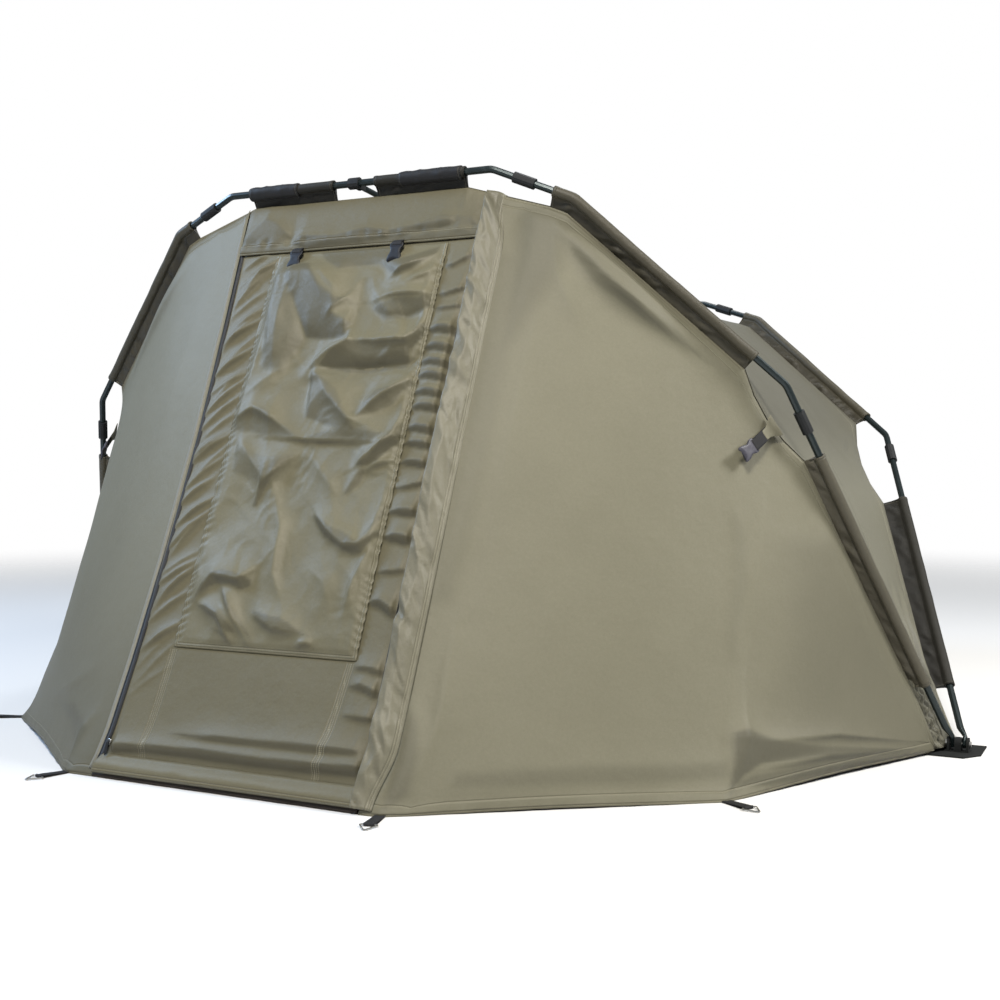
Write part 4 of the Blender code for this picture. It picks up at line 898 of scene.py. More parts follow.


# Facets that face the ground, in front view: outline, strength, soft width
# Their strength is also painted into the colour as shade.
panelFacets = {
    1: [
        ([(1.078, 0.138), (1.096, 0.144), (1.154, 0.11), (1.227, 0.082), (1.317, 0.052), (1.4, 0.024),
          (1.33, 0.036), (1.216, 0.058), (1.136, 0.065), (1.108, 0.046), (1.096, 0.01)], 0.85, 0.016),
        ([(1.1, 0.028), (1.13, 0.044), (1.216, 0.04), (1.32, 0.024), (1.39, 0.012), (1.3, 0.008),
          (1.18, 0.01)], 0.55, 0.01),
        ([(1.024, 0.66), (1.051, 0.614), (1.071, 0.488), (1.065, 0.403), (1.066, 0.286), (1.049, 0.356),
          (1.042, 0.51)], 0.15, 0.025),
        ([(1.198, 0.554), (1.238, 0.455), (1.298, 0.286), (1.363, 0.132), (1.332, 0.186), (1.269, 0.32),
          (1.212, 0.468)], 0.22, 0.014),
        ([(0.607, 1.341), (0.648, 1.328), (0.74, 1.249), (0.824, 1.157), (0.929, 1.034), (0.857, 1.084),
          (0.778, 1.143), (0.688, 1.213), (0.63, 1.293)], 0.4, 0.012),
        ([(0.605, 1.348), (0.668, 1.323), (0.761, 1.237), (0.799, 1.191), (0.744, 1.227),
          (0.664, 1.291)], 0.4, 0.008),
        ([(0.5, 1.0), (0.5, 1.42), (0.615, 1.37), (0.605, 1.268), (0.57, 1.18)], 0.55, 0.1),
        ([(1.14, 0.56), (1.22, 0.6), (1.46, 0.06), (1.44, -0.1), (1.18, -0.1)], 0.4, 0.16),
        ([(0.46, 1.3), (0.535, 1.3), (0.525, 0.8), (0.505, 0.45), (0.46, 0.45)], 0.28, 0.06),
        ([(0.46, 0.22), (0.486, 0.19), (0.502, 0.12), (0.5, 0.04), (0.46, 0.01)], 0.5, 0.03),
        ([(0.58, 0.082), (0.82, 0.09), (1.08, 0.08), (1.08, 0.048), (0.82, 0.052),
          (0.58, 0.056)], 0.3, 0.028),
    ],
    -1: [
        ([(0.62, 1.33), (0.74, 1.24), (0.86, 1.11), (0.92, 1.03), (0.82, 1.1), (0.68, 1.22)], 0.25, 0.015),
        ([(0.44, 0.1), (0.56, 0.14), (0.7, 0.12), (0.56, 0.1), (0.46, 0.05)], 0.3, 0.02),
    ],
}
panelLook = {
    # Painted shade growing towards the ground, far stronger on the left panel: its share, and the height
    # where it ends
    "soil": {1: 0.10, -1: 0.75},
    "paintedShadeHeight": 0.75,
    "foldShade": 0.7,
    "waist": (0.56, 0.12, 0.008),  # share along the hem, its half width, depth
    "lean": 0.5,
    "reach": 0.05,
    "noises": ((0.30, 0.42, 11, 0.0030), (0.09, 0.12, 21, 0.0009)),  # size across, size up, seed, height
    "pucker": (0.016, 0.0010, 0.022),  # pitch, height, reach above the hem
    "hemHeight": 0.0012,
    "hemDepth": 0.024,
    "fade": 0.03,
}


def panelShade(grid, relief, side):  # painted shade on fold undersides and outlined facets, and painted shade growing towards the ground
    x, z = grid[..., 0] * side, grid[..., 2]
    soil = panelLook["soil"][side] * (1 - ease(z / panelLook["paintedShadeHeight"])) ** 1.3
    folds = groundShade(relief, runs(grid)[1], panelLook["foldShade"])
    return np.clip(folds + facets(x, z, panelFacets[side]) + soil, 0, 1)


def panelRelief(grid, at, side):
    # Drawn in a little between the side corner and the hip, by a bell curve across and the cubic
    # r(1-r)(1-r) up, pulled into long shallow folds under the shoulder, and puckered along the hem
    look = panelLook
    rows = np.linspace(0, 1, len(grid))[:, None]
    across, up = runs(grid)
    shares = np.broadcast_to(at, grid.shape[:2])
    place, half, depth = look["waist"]
    relief = -depth * np.exp(-(((shares - place) / half) ** 2)) * 6.75 * rows * (1 - rows) ** 2
    x, z = grid[..., 0] * side, grid[..., 2]
    for path, upper, lower, height in panelCreases[side]:
        relief += crease(x, z, path, upper, lower, height)
    tone = facets(x, z, panelFacets[side])
    relief += overhang(tone * look["lean"], slopeLength / panelShape["rows"], look["reach"])
    for wide, tall, seed, height in look["noises"]:
        relief += noise(across / wide, up / tall, seed + side) * height
    pitch, height, reach = look["pucker"]
    pucker = np.sin(across / pitch + 2 * noise(across / 0.05, up, 5)) * height * np.exp(-up / reach)
    fade = ease(rows / look["fade"]) * ease((1 - rows) / look["fade"]) * ease(across / look["fade"])
    return relief * fade + pucker + hemStep(up, look["hemHeight"], look["hemDepth"])


frontFold = foldOf(frontRib, "fold", panelShape["keep"])
for side, word in ((-1, "Left"), (1, "Right")):
    grid, at = sidePanelGrid(side, tent["zip" + word])
    relief = panelRelief(grid, at, side)
    poles = [f"front_{pole}_pole_{word.lower()}" for pole in ("leg", "shoulder")]
    lay = dict(shade=panelShade(grid, relief, side), sides=("low", "high"), held="stretched", rests_on=poles)
    panel = clothPiece("frontPanel" + word, grid, relief, "khaki", "front_rib", **lay)
    assign(panel, "front_panel_" + word.lower(), frontFold)
rightPanel = grid
print("front panels made")

# Header strip, door leaf, window cover, door hem and threshold, all on the door's slope
headerLook = {
    "depth": 0.145,
    "columns": 190,
    "rows": 40,
    "bowRun": 0.14,
    "zipLap": 0.002,
    "lap": 0.004,
    "standOff": 0.0034,
    "seamStandOff": 0.0006,
    "hemHeight": 0.0016,
    "hemDepth": 0.027,
    "lean": 1.3,
    "reach": 0.03,
    "pucker": (0.019, 0.03, 31, 0.0028),  # size across, size up, seed, height
    "puckerAt": 0.032,
    "puckerReach": 0.016,
    "crumple": (0.09, 33, 0.0012),  # size, seed, height
    # Painted shade laid evenly over the whole strip
    "soil": 0.18,
}
doorLook = {
    "headerBottom": slopeLength - headerLook["depth"],
    "hemTop": 0.056,
    "coverLeft": -0.222,
    "coverRight": 0.315,
    "coverBottom": 0.341,
    "coverTop": 1.455,
    "step": 0.0050,
    "soil": 0.30,
    "paintedShadeHeight": 0.9,
}


def doorGrid(left, right, low, high):  # even places across and up the slope, one step apart
    columns = int((right - left) / doorLook["step"]) + 1
    rows = int((high - low) / doorLook["step"]) + 1
    return np.meshgrid(np.linspace(left, right, columns), np.linspace(low, high, rows))


# The header bags over its own hem: facets that face the ground, across and up from its lower edge
# Their strength is also painted into the colour as shade.
headerFacets = [
    ([(-0.182, 0.024), (-0.15, 0.045), (-0.036, 0.036), (0.057, 0.051), (0.13, 0.039), (0.221, 0.049),
      (0.309, 0.058), (0.329, 0.045), (0.281, 0.032), (0.137, 0.018), (0.044, 0.01),
      (-0.126, 0.006)], 0.55, 0.007),
    ([(-0.35, 0.05), (-0.283, 0.111), (-0.238, 0.089), (-0.188, 0.048), (-0.243, 0.017),
      (-0.345, 0.02)], 0.35, 0.014),
    ([(0.199, 0.045), (0.284, 0.072), (0.374, 0.063), (0.393, 0.034), (0.292, 0.031)], 0.25, 0.01),
    ([(-0.36, 0.0), (-0.36, 0.016), (-0.15, 0.012), (0.15, 0.02), (0.41, 0.03), (0.41, 0.0)], 0.3, 0.006),
]


def headerPiece():
    # Straight lines from the hem up to the rib's seam, then a raised hem, facets that lean out over it, short
    # puckers along the hem's stitching and a slow crumple
    look = headerLook
    across = np.linspace(0, 1, look["columns"])[None]
    share = np.linspace(0, 1, look["rows"])[:, None]
    left = zipLine(tent["zipLeft"], doorLook["headerBottom"] + share * look["bowRun"]) - look["zipLap"]
    x = left + (tent["zipRight"] - left) * across
    low = doorSpace(x[0], doorLook["headerBottom"] - look["lap"], look["standOff"])
    high = frontSeamAt(x[-1]) + slopeOut * look["seamStandOff"]
    grid = low[None] * (1 - share[..., None]) + high[None] * share[..., None]
    up = runs(grid)[1]
    tone = facets(x, up, headerFacets)
    relief = hemStep(up, look["hemHeight"], look["hemDepth"])
    relief += overhang(tone * look["lean"], look["depth"] / look["rows"], look["reach"], 1)
    wide, tall, seed, height = look["pucker"]
    pucker = noise(x / wide, up / tall, seed) * height
    relief += pucker * np.exp(-(((up - look["puckerAt"]) / look["puckerReach"]) ** 2))
    size, seed, height = look["crumple"]
    relief += crumple(x, up, size, seed) * height * ease(1 - share / 0.9)
    # Painted shade where the cloth faces the ground, on the facets, and evenly over the whole strip
    shade = np.clip(groundShade(relief, up, 0.5) + tone + look["soil"], 0, 1)
    lay = dict(held="stretched", rests_on=["front_top_pole"], sides=("low",), shade=shade)
    header = clothPiece("headerStrip", grid, relief, "header", "front_rib", **lay)
    assign(header, "header_panel")


# Facets that face the ground, in door places. Above the hem, then the pleats beside the cover: height at the
# cover, height at the zip, half height
# Their strength, and the pleats', is also painted into the colour as shade.
footFacets = [
    ([(-0.168, 0.125), (-0.013, 0.133), (0.215, 0.137), (0.372, 0.139), (0.375, 0.127), (0.263, 0.121),
      (0.107, 0.121), (-0.033, 0.119)], 0.75, 0.007),
    ([(-0.371, 0.082), (-0.24, 0.09), (-0.058, 0.097), (0.118, 0.095), (0.284, 0.098), (0.39, 0.104),
      (0.39, 0.082), (0.235, 0.076), (0.067, 0.073), (-0.111, 0.076), (-0.259, 0.072),
      (-0.35, 0.062)], 0.95, 0.007),
]
stripPleats = [
    (1.198, 1.191, 0.013), (1.148, 1.139, 0.013), (1.107, 1.095, 0.012), (1.07, 1.059, 0.012),
    (1.024, 1.015, 0.012), (0.986, 0.977, 0.011), (0.927, 0.916, 0.012), (0.887, 0.877, 0.01),
    (0.837, 0.83, 0.009), (0.772, 0.789, 0.006), (0.709, 0.706, 0.01), (0.643, 0.637, 0.012),
    (0.558, 0.566, 0.005), (0.481, 0.448, 0.012), (0.324, 0.315, 0.007), (0.28, 0.261, 0.009),
    (0.21, 0.207, 0.005), (1.3, 1.32, 0.006), (1.26, 1.265, 0.005), (1.385, 1.42, 0.005),
]
leafLook = {
    "zipGap": 0.005,
    "pleatStrength": 0.95,
    "pleatSoft": 0.007,
    "pleatLap": 0.004,
    "pleatKnee": 0.030,
    "pleatEnd": 0.410,
    "lean": 1.5,
    "reach": 0.028,
    "slants": 34,
    "slantFoot": 0.20,
    "slantPitch": 0.0365,
    "slantLean": 0.100,
    "slantLeft": -0.332,
    "slantRight": 0.015,
    "slantWidths": (0.012, 0.0055),
    "slantHeight": 0.0095,
    "slantVaries": (0.011, 0.025, 0.0030),  # place, lean, height
    "crumple": (0.13, 41, 0.0018),
    "crumpleTop": 0.36,
    "sideFlat": 0.007,
    "sideFade": 0.014,
    "endFade": 0.012,
    "hidden": 0.02,
    "seamLean": 0.10,
    "rightSeam": 0.300,
}


def doorPaintedShade(rise):  # painted shade: a share of darkness that grows towards the ground
    return doorLook["soil"] * (1 - ease(rise / doorLook["paintedShadeHeight"]))


def doorFolds(x, rise):
    # Level pleats between cover and flap, slanting pleats between zip and cover, long low folds above the
    # hem. Sines of a slanting pleat's number vary its place, lean and height.
    look = leafLook
    left, right = doorLook["coverLeft"], doorLook["coverRight"]
    start, middle, end = right - look["pleatLap"], right + look["pleatKnee"], look["pleatEnd"]
    outlines = list(footFacets)
    for low, high, half in stripPleats:
        band = [(start, low + half * 0.15), (middle, low + half * 0.9), (end, high + half)]
        band += [(end, high - half), (middle, low - half * 0.7), (start, low - half * 0.15)]
        outlines.append((band, look["pleatStrength"], look["pleatSoft"]))
    tone = facets(x, rise, outlines)
    relief = overhang(tone * look["lean"], doorLook["step"], look["reach"], 2)
    placeVaries, leanVaries, heightVaries = look["slantVaries"]
    for number in range(look["slants"]):
        foot = look["slantFoot"] + look["slantPitch"] * number + placeVaries * math.sin(2.7 * number)
        lean = look["slantLean"] + leanVaries * math.sin(1.3 * number)
        atZip = look["slantLeft"] + 0.02 * (number % 3 == 1)
        atCover = left + look["slantRight"] - 0.030 * (number % 4 == 2)
        path = [(atZip, foot), ((atZip + atCover) / 2, foot + lean * 0.55), (atCover, foot + lean)]
        height = look["slantHeight"] + heightVaries * math.sin(1.9 * number)
        height *= 0.3 + 0.7 * ease((foot - look["slantFoot"]) / 0.2)
        relief += crease(x, rise, path, *look["slantWidths"], height)
    size, seed, height = look["crumple"]
    relief += crumple(x, rise, size, seed) * height * ease((look["crumpleTop"] - rise) / 0.1)
    sides = np.minimum(x - tent["zipLeft"], tent["zipRight"] - x)
    ends = np.minimum(rise - doorLook["hemTop"], doorLook["headerBottom"] - rise)
    under = (x > left + look["hidden"]) & (x < right - look["hidden"])
    under = under & (rise > doorLook["coverBottom"] + look["hidden"])
    fade = ease((sides - look["sideFlat"]) / look["sideFade"]) * ease(ends / look["endFade"])
    relief = np.where(under, 0.0, relief * fade)
    # The shade is painted: where the cloth faces the ground, on the facets and pleats, and growing towards
    # the ground
    return relief, np.clip(groundShade(relief, rise, 0.6) + tone + doorPaintedShade(rise), 0, 1)


def doorSeams(x, rise):  # distance to the leaf's two upright seams below the cover, and the length along them
    slant = (doorLook["coverBottom"] - rise) * leafLook["seamLean"]
    left = np.abs(x - doorLook["coverLeft"] + slant * 0.4)
    right = np.abs(x - leafLook["rightSeam"] + slant)
    return np.where(rise < doorLook["coverBottom"], np.minimum(left, right), 1.0), rise


def bowed(x, rise, gap=0.0):  # the left edge follows the zip's bow, and less of it reaches the right
    bow = zipLine(tent["zipLeft"], rise) + gap - tent["zipLeft"]
    return x + bow * (tent["zipRight"] - x) / (tent["zipRight"] - tent["zipLeft"])


# The window cover's creases in door places: path, width above, width below, height
coverCreases = [
    ([(-0.205, 1.44), (-0.185, 1.27), (-0.19, 1.1), (-0.215, 0.99)], 0.03, 0.016, 0.01),
    ([(-0.15, 1.43), (-0.14, 1.2), (-0.12, 1.05)], 0.04, 0.024, 0.007),
    ([(-0.09, 1.43), (-0.02, 1.36), (0.05, 1.3)], 0.04, 0.02, 0.011),
    ([(0.01, 1.25), (0.06, 1.3), (0.07, 1.33)], 0.01, 0.016, 0.008),
    ([(-0.02, 1.1), (0.04, 1.14), (0.1, 1.17), (0.085, 1.22)], 0.01, 0.018, 0.012),
    ([(0.02, 1.1), (0.16, 1.1), (0.28, 1.11), (0.33, 1.15)], 0.01, 0.034, -0.012),
    ([(0.1, 1.175), (0.18, 1.165), (0.27, 1.165), (0.315, 1.22)], 0.04, 0.01, 0.013),
    ([(0.13, 1.29), (0.19, 1.3), (0.31, 1.3)], 0.034, 0.012, 0.012),
    ([(0.15, 1.25), (0.24, 1.24), (0.31, 1.265)], 0.014, 0.024, -0.006),
    ([(0.16, 1.35), (0.23, 1.385), (0.3, 1.43)], 0.02, 0.012, 0.012),
    ([(0.22, 1.33), (0.28, 1.36), (0.31, 1.38)], 0.014, 0.01, 0.008),
    ([(0.01, 1.09), (0.08, 1.01), (0.15, 0.95), (0.26, 0.91)], 0.034, 0.026, 0.012),
    ([(0.17, 0.95), (0.23, 1.01), (0.31, 1.07)], 0.02, 0.016, 0.011),
    ([(-0.215, 0.95), (-0.15, 0.985), (-0.08, 0.95), (0.0, 0.905)], 0.034, 0.016, 0.012),
    ([(-0.2, 1.02), (-0.12, 1.08), (-0.05, 1.13)], 0.03, 0.024, 0.008),
    ([(-0.1, 0.903), (0.08, 0.893), (0.27, 0.886)], 0.03, 0.006, 0.008),
    ([(0.19, 0.82), (0.26, 0.875), (0.315, 0.92)], 0.022, 0.01, 0.012),
    ([(0.22, 0.81), (0.27, 0.835), (0.315, 0.845)], 0.016, 0.009, 0.008),
    ([(-0.09, 0.75), (-0.03, 0.81), (0.02, 0.865)], 0.024, 0.016, 0.01),
    ([(-0.18, 0.905), (-0.12, 0.84), (-0.06, 0.78)], 0.02, 0.024, 0.008),
    ([(0.11, 0.7), (0.16, 0.655), (0.22, 0.615), (0.26, 0.615), (0.31, 0.665)], 0.026, 0.012, 0.013),
    ([(-0.195, 0.45), (-0.14, 0.525), (-0.06, 0.515), (0.0, 0.575)], 0.026, 0.012, 0.012),
    ([(-0.18, 0.455), (-0.1, 0.425), (-0.04, 0.35)], 0.02, 0.014, 0.011),
    ([(-0.11, 0.5), (-0.05, 0.42), (0.01, 0.355)], 0.014, 0.014, 0.01),
    ([(-0.01, 0.435), (0.07, 0.4), (0.15, 0.39)], 0.024, 0.012, 0.01),
    ([(-0.04, 0.78), (0.02, 0.66), (0.03, 0.54), (0.08, 0.46)], 0.016, 0.03, 0.01),
    ([(0.3, 0.64), (0.27, 0.54), (0.255, 0.44)], 0.02, 0.014, 0.01),
    ([(0.1, 0.575), (0.18, 0.525), (0.22, 0.45)], 0.03, 0.03, 0.006),
    ([(0.05, 0.86), (0.12, 0.79), (0.17, 0.74)], 0.03, 0.024, 0.006),
    ([(0.14, 0.368), (0.19, 0.375)], 0.01, 0.008, 0.006),
]
# Its facets that face the ground, as outlines, whose strength is also painted into the colour as shade
coverFacets = [
    ([(-0.15, 1.423), (-0.097, 1.415), (-0.065, 1.378), (-0.026, 1.333), (0.028, 1.296), (0.054, 1.297),
      (0.021, 1.255), (0.086, 1.223), (0.075, 1.182), (-0.05, 1.192), (-0.103, 1.287),
      (-0.158, 1.367)], 0.95, 0.014),
    ([(-0.2, 1.445), (-0.12, 1.44), (-0.11, 1.29), (-0.06, 1.18), (-0.1, 1.09), (-0.16, 1.1),
      (-0.185, 1.25)], 0.6, 0.04),
    ([(-0.088, 1.467), (0.14, 1.462), (0.146, 1.419), (0.195, 1.411), (0.292, 1.446), (0.289, 1.421),
      (0.236, 1.379), (0.186, 1.36), (0.124, 1.404), (0.046, 1.401), (0.004, 1.391),
      (-0.05, 1.425)], 0.85, 0.014),
    ([(0.135, 1.27), (0.203, 1.286), (0.278, 1.286), (0.303, 1.301), (0.312, 1.272), (0.286, 1.249),
      (0.257, 1.235), (0.182, 1.233)], 0.6, 0.008),
    ([(0.096, 1.167), (0.262, 1.161), (0.281, 1.182), (0.295, 1.213), (0.317, 1.224), (0.318, 1.2),
      (0.278, 1.142), (0.276, 1.099), (0.187, 1.089), (0.104, 1.087), (0.017, 1.105),
      (0.052, 1.137)], 0.75, 0.006),
    ([(-0.005, 1.088), (0.024, 1.079), (0.097, 1.029), (0.156, 0.946), (0.175, 0.923), (0.235, 0.911),
      (0.264, 0.911), (0.233, 0.888), (0.033, 0.899), (0.064, 0.912), (0.12, 0.923),
      (0.013, 0.96)], 0.58, 0.01),
    ([(0.172, 0.95), (0.191, 0.992), (0.207, 1.027), (0.254, 1.037), (0.301, 1.059), (0.312, 1.048),
      (0.284, 1.029), (0.265, 0.991), (0.228, 0.972)], 0.5, 0.01),
    ([(-0.223, 0.954), (-0.175, 0.978), (-0.117, 0.981), (-0.052, 0.94), (0.011, 0.901), (-0.086, 0.905),
      (-0.145, 0.921), (-0.181, 0.922), (-0.233, 0.942)], 0.48, 0.012),
    ([(0.26, 0.874), (0.277, 0.903), (0.297, 0.941), (0.321, 0.939), (0.313, 0.922),
      (0.29, 0.884)], 0.6, 0.006),
    ([(-0.184, 0.886), (-0.145, 0.87), (-0.076, 0.845), (0.01, 0.855), (-0.023, 0.816), (-0.067, 0.776),
      (-0.142, 0.8), (-0.173, 0.81)], 0.36, 0.01),
    ([(-0.076, 0.806), (-0.04, 0.836), (0.007, 0.856), (-0.019, 0.821), (-0.055, 0.772), (-0.077, 0.715),
      (-0.089, 0.717), (-0.074, 0.762)], 0.65, 0.007),
    ([(0.2, 0.825), (0.241, 0.849), (0.276, 0.892), (0.321, 0.917), (0.328, 0.909), (0.286, 0.873),
      (0.259, 0.837), (0.221, 0.823)], 0.85, 0.006),
    ([(0.178, 0.746), (0.195, 0.784), (0.213, 0.813), (0.228, 0.818), (0.22, 0.784),
      (0.201, 0.761)], 0.55, 0.007),
    ([(0.102, 0.695), (0.125, 0.689), (0.169, 0.662), (0.213, 0.649), (0.261, 0.623), (0.305, 0.666),
      (0.319, 0.661), (0.293, 0.633), (0.272, 0.599), (0.242, 0.597), (0.199, 0.626), (0.154, 0.638),
      (0.133, 0.661)], 0.75, 0.007),
    ([(0.266, 0.642), (0.287, 0.679), (0.302, 0.72), (0.329, 0.735), (0.293, 0.674),
      (0.275, 0.646)], 0.55, 0.006),
    ([(-0.197, 0.456), (-0.174, 0.499), (-0.145, 0.53), (-0.114, 0.538), (-0.073, 0.532), (-0.031, 0.52),
      (-0.027, 0.506), (-0.051, 0.493), (-0.081, 0.503), (-0.121, 0.507), (-0.147, 0.5),
      (-0.174, 0.48)], 0.75, 0.007),
    ([(-0.175, 0.447), (-0.143, 0.451), (-0.098, 0.433), (-0.05, 0.399), (-0.04, 0.386), (-0.062, 0.385),
      (-0.097, 0.41), (-0.143, 0.435)], 0.65, 0.008),
    ([(-0.119, 0.502), (-0.082, 0.471), (-0.042, 0.427), (-0.003, 0.389), (0.015, 0.363), (-0.036, 0.409),
      (-0.081, 0.448)], 0.6, 0.007),
    ([(-0.008, 0.443), (0.065, 0.429), (0.086, 0.428), (0.121, 0.414), (0.164, 0.39), (0.127, 0.392),
      (0.05, 0.405), (0.014, 0.421)], 0.7, 0.008),
    ([(0.152, 0.359), (0.173, 0.373), (0.203, 0.358), (0.176, 0.366)], 0.55, 0.006),
    ([(-0.125, 0.395), (-0.09, 0.388), (-0.064, 0.376), (-0.05, 0.354), (-0.074, 0.373)], 0.55, 0.007),
]
coverLook = {
    "standOff": 0.0022,
    "lift": 0.005,
    "lean": 0.6,
    "reach": 0.05,
    "creaseWidth": 1.3,
    "creaseHeight": 1.5,
    "crumples": ((0.115, 61, 0.0030), (0.050, 63, 0.0010)),  # size, seed, height
    "rufflePitch": 0.0235,
    "ruffleHeight": 0.0042,
    "ruffleReach": 0.018,
    "sideBorder": 0.026,
    "endBorder": 0.024,
    "hemHeight": 0.0014,
    "hemDepth": 0.009,
}


def coverFolds(x, rise):
    # Outlined facets that lean out, sharp ridges, a slow crumple, puckers beside the ruffled side seams, and
    # flat borders where the cover is sewn down
    look = coverLook
    tone = facets(x, rise, coverFacets)
    relief = look["lift"] + overhang(tone * look["lean"], doorLook["step"], look["reach"], 2)
    for path, upper, lower, height in coverCreases:
        width = upper * look["creaseWidth"]
        relief += crease(x, rise, path, width, lower, height * look["creaseHeight"])
    for size, seed, height in look["crumples"]:
        relief += crumple(x, rise, size, seed) * height
    left, right = x - doorLook["coverLeft"], doorLook["coverRight"] - x
    sides = np.minimum(left, right)
    slanted = rise - 0.5 * left * (left < right) - 0.5 * right * (right <= left)
    beat = slanted / look["rufflePitch"] + 1.4 * noise(slanted / 0.06, x * 0 + 2.5, 65)
    ruffle = (0.5 + 0.5 * np.sin(math.tau * beat)) * look["ruffleHeight"]
    ruffle = ruffle * np.exp(-((sides / look["ruffleReach"]) ** 2))
    low = rise - doorLook["coverBottom"]
    ends = np.minimum(low, (doorLook["coverTop"] - rise) * 0.3)
    flat = ease(sides / look["sideBorder"]) * ease(ends / look["endBorder"])
    hem = hemStep(np.minimum(sides, low), look["hemHeight"], look["hemDepth"])
    relief = relief * flat + ruffle * ease(ends / 0.02) + hem
    # Painted shade where the cloth faces the ground, on the facets away from the sewn sides, and growing
    # towards the ground
    shade = groundShade(relief, rise, 0.9) + tone * ease(sides / 0.010) * 0.8 + doorPaintedShade(rise)
    return relief, np.clip(shade, 0, 1)


# The strips under the leaf
stripLook = {
    "hem": {
        "edges": (0.010, doorLook["hemTop"] + 0.004),
        "lap": 0.0,
        "standOff": 0.0015,
        "noise": (0.05, 0.02, 51, 0.0012),  # size across, size up, seed, height
        "roll": (-0.012, 0.066, 0.016),  # low limit, high limit, height
    },
    "threshold": {
        "edges": (0.001, 0.030),
        "lap": 0.030,
        "standOff": 0.0010,
        "noise": (0.06, 0.03, 53, 0.0016),
        "roll": (-0.01, 0.035, 0.002),
    },
}


def doorStrip(look):  # noise over a level roll of the cloth, a hump between two heights
    x, rise = doorGrid(tent["zipLeft"] - look["lap"], tent["zipRight"], *look["edges"])
    wide, high, seed, height = look["noise"]
    low, top, swell = look["roll"]
    relief = look["standOff"] + noise(x / wide, rise / high, seed) * height
    return x, rise, relief + hump(rise, low, top) * swell


def doorPieces():  # leaf and cover, given the door's roll, and the strips below them without it
    anchor = tuple(doorSpace(0.0, doorLook["headerBottom"]))
    roll = {"joint": "door_roll", "axis": tuple(slope), "anchor": anchor, "keep": 0.043}
    x, rise = doorGrid(tent["zipLeft"], tent["zipRight"], doorLook["hemTop"], doorLook["headerBottom"])
    x = bowed(x, rise, leafLook["zipGap"])
    relief, shade = doorFolds(x, rise)
    lay = dict(shade=shade, sewn=doorSeams(x, rise), held="hung", rests_on=["headerStrip"])
    leaf = clothPiece("doorLeaf", doorSpace(x, rise), relief, "door", "door", **lay)
    assign(leaf, "door_panel", roll)

    edges = [doorLook["cover" + word] for word in ("Left", "Right", "Bottom", "Top")]
    x, rise = doorGrid(*edges)
    relief, shade = coverFolds(x, rise)
    lay = dict(shade=shade, sides=("left", "right", "low"), held="hung", rests_on=["doorLeaf"])
    place = doorSpace(x, rise, coverLook["standOff"])
    cover = clothPiece("windowCover", place, relief, "cover", "door", **lay)
    assign(cover, "window_cover", roll)

    x, rise, relief = doorStrip(stripLook["hem"])
    lay = dict(held="hung", rests_on=["doorLeaf"], sides=("low",))
    hem = clothPiece("doorHem", doorSpace(bowed(x, rise), rise), relief, "door", "door_bottom", **lay)
    assign(hem, "door_hem")

    x, rise, relief = doorStrip(stripLook["threshold"])
    lay = dict(held="stretched", rests_on=["front_peg_strap_left"], sides=("high",))
    strip = clothPiece("thresholdStrip", doorSpace(x, rise), relief, "ground", "front_corners", **lay)
    assign(strip, "threshold_strip")


headerPiece()
doorPieces()
print("header, door and window cover made")

# Storm flap over the right zip: sewn to the right panel along one edge, loose along the other
flapLook = {
    "left": 0.401,
    "right": 0.464,
    "low": 0.010,
    "high": 1.600,
    "columns": 26,
    "rows": 240,
    "standOff": 0.012,
    "seamStandOff": 0.0040,
    "flare": 0.012,
    "flareTop": 0.16,
    "narrowing": 0.30,
    "narrowFrom": 1.42,
    "curl": 0.003,
    "edgeGap": 0.002,
    "slant": 1.2,
    "crumples": ((1.5, 0.075, 71, 0.0046), (1.0, 0.030, 73, 0.0020)),  # stretch, size, seed, height
    "shade": 1.2,
    "creases": [  # path up the flap, width on either hand, height
        ([(0.012, 1.4), (0.034, 1.2), (0.018, 1.0)], 0.012, 0.008, 0.0045),
        ([(0.03, 1.05), (0.02, 0.8), (0.036, 0.62)], 0.012, 0.01, 0.004),
        ([(0.036, 0.6), (0.016, 0.42), (0.034, 0.24)], 0.01, 0.01, 0.0045),
        ([(0.012, 0.22), (0.04, 0.15), (0.05, 0.1)], 0.012, 0.008, 0.007),
        ([(0.03, 0.14), (0.014, 0.08), (0.036, 0.03)], 0.01, 0.008, 0.007),
    ],
}


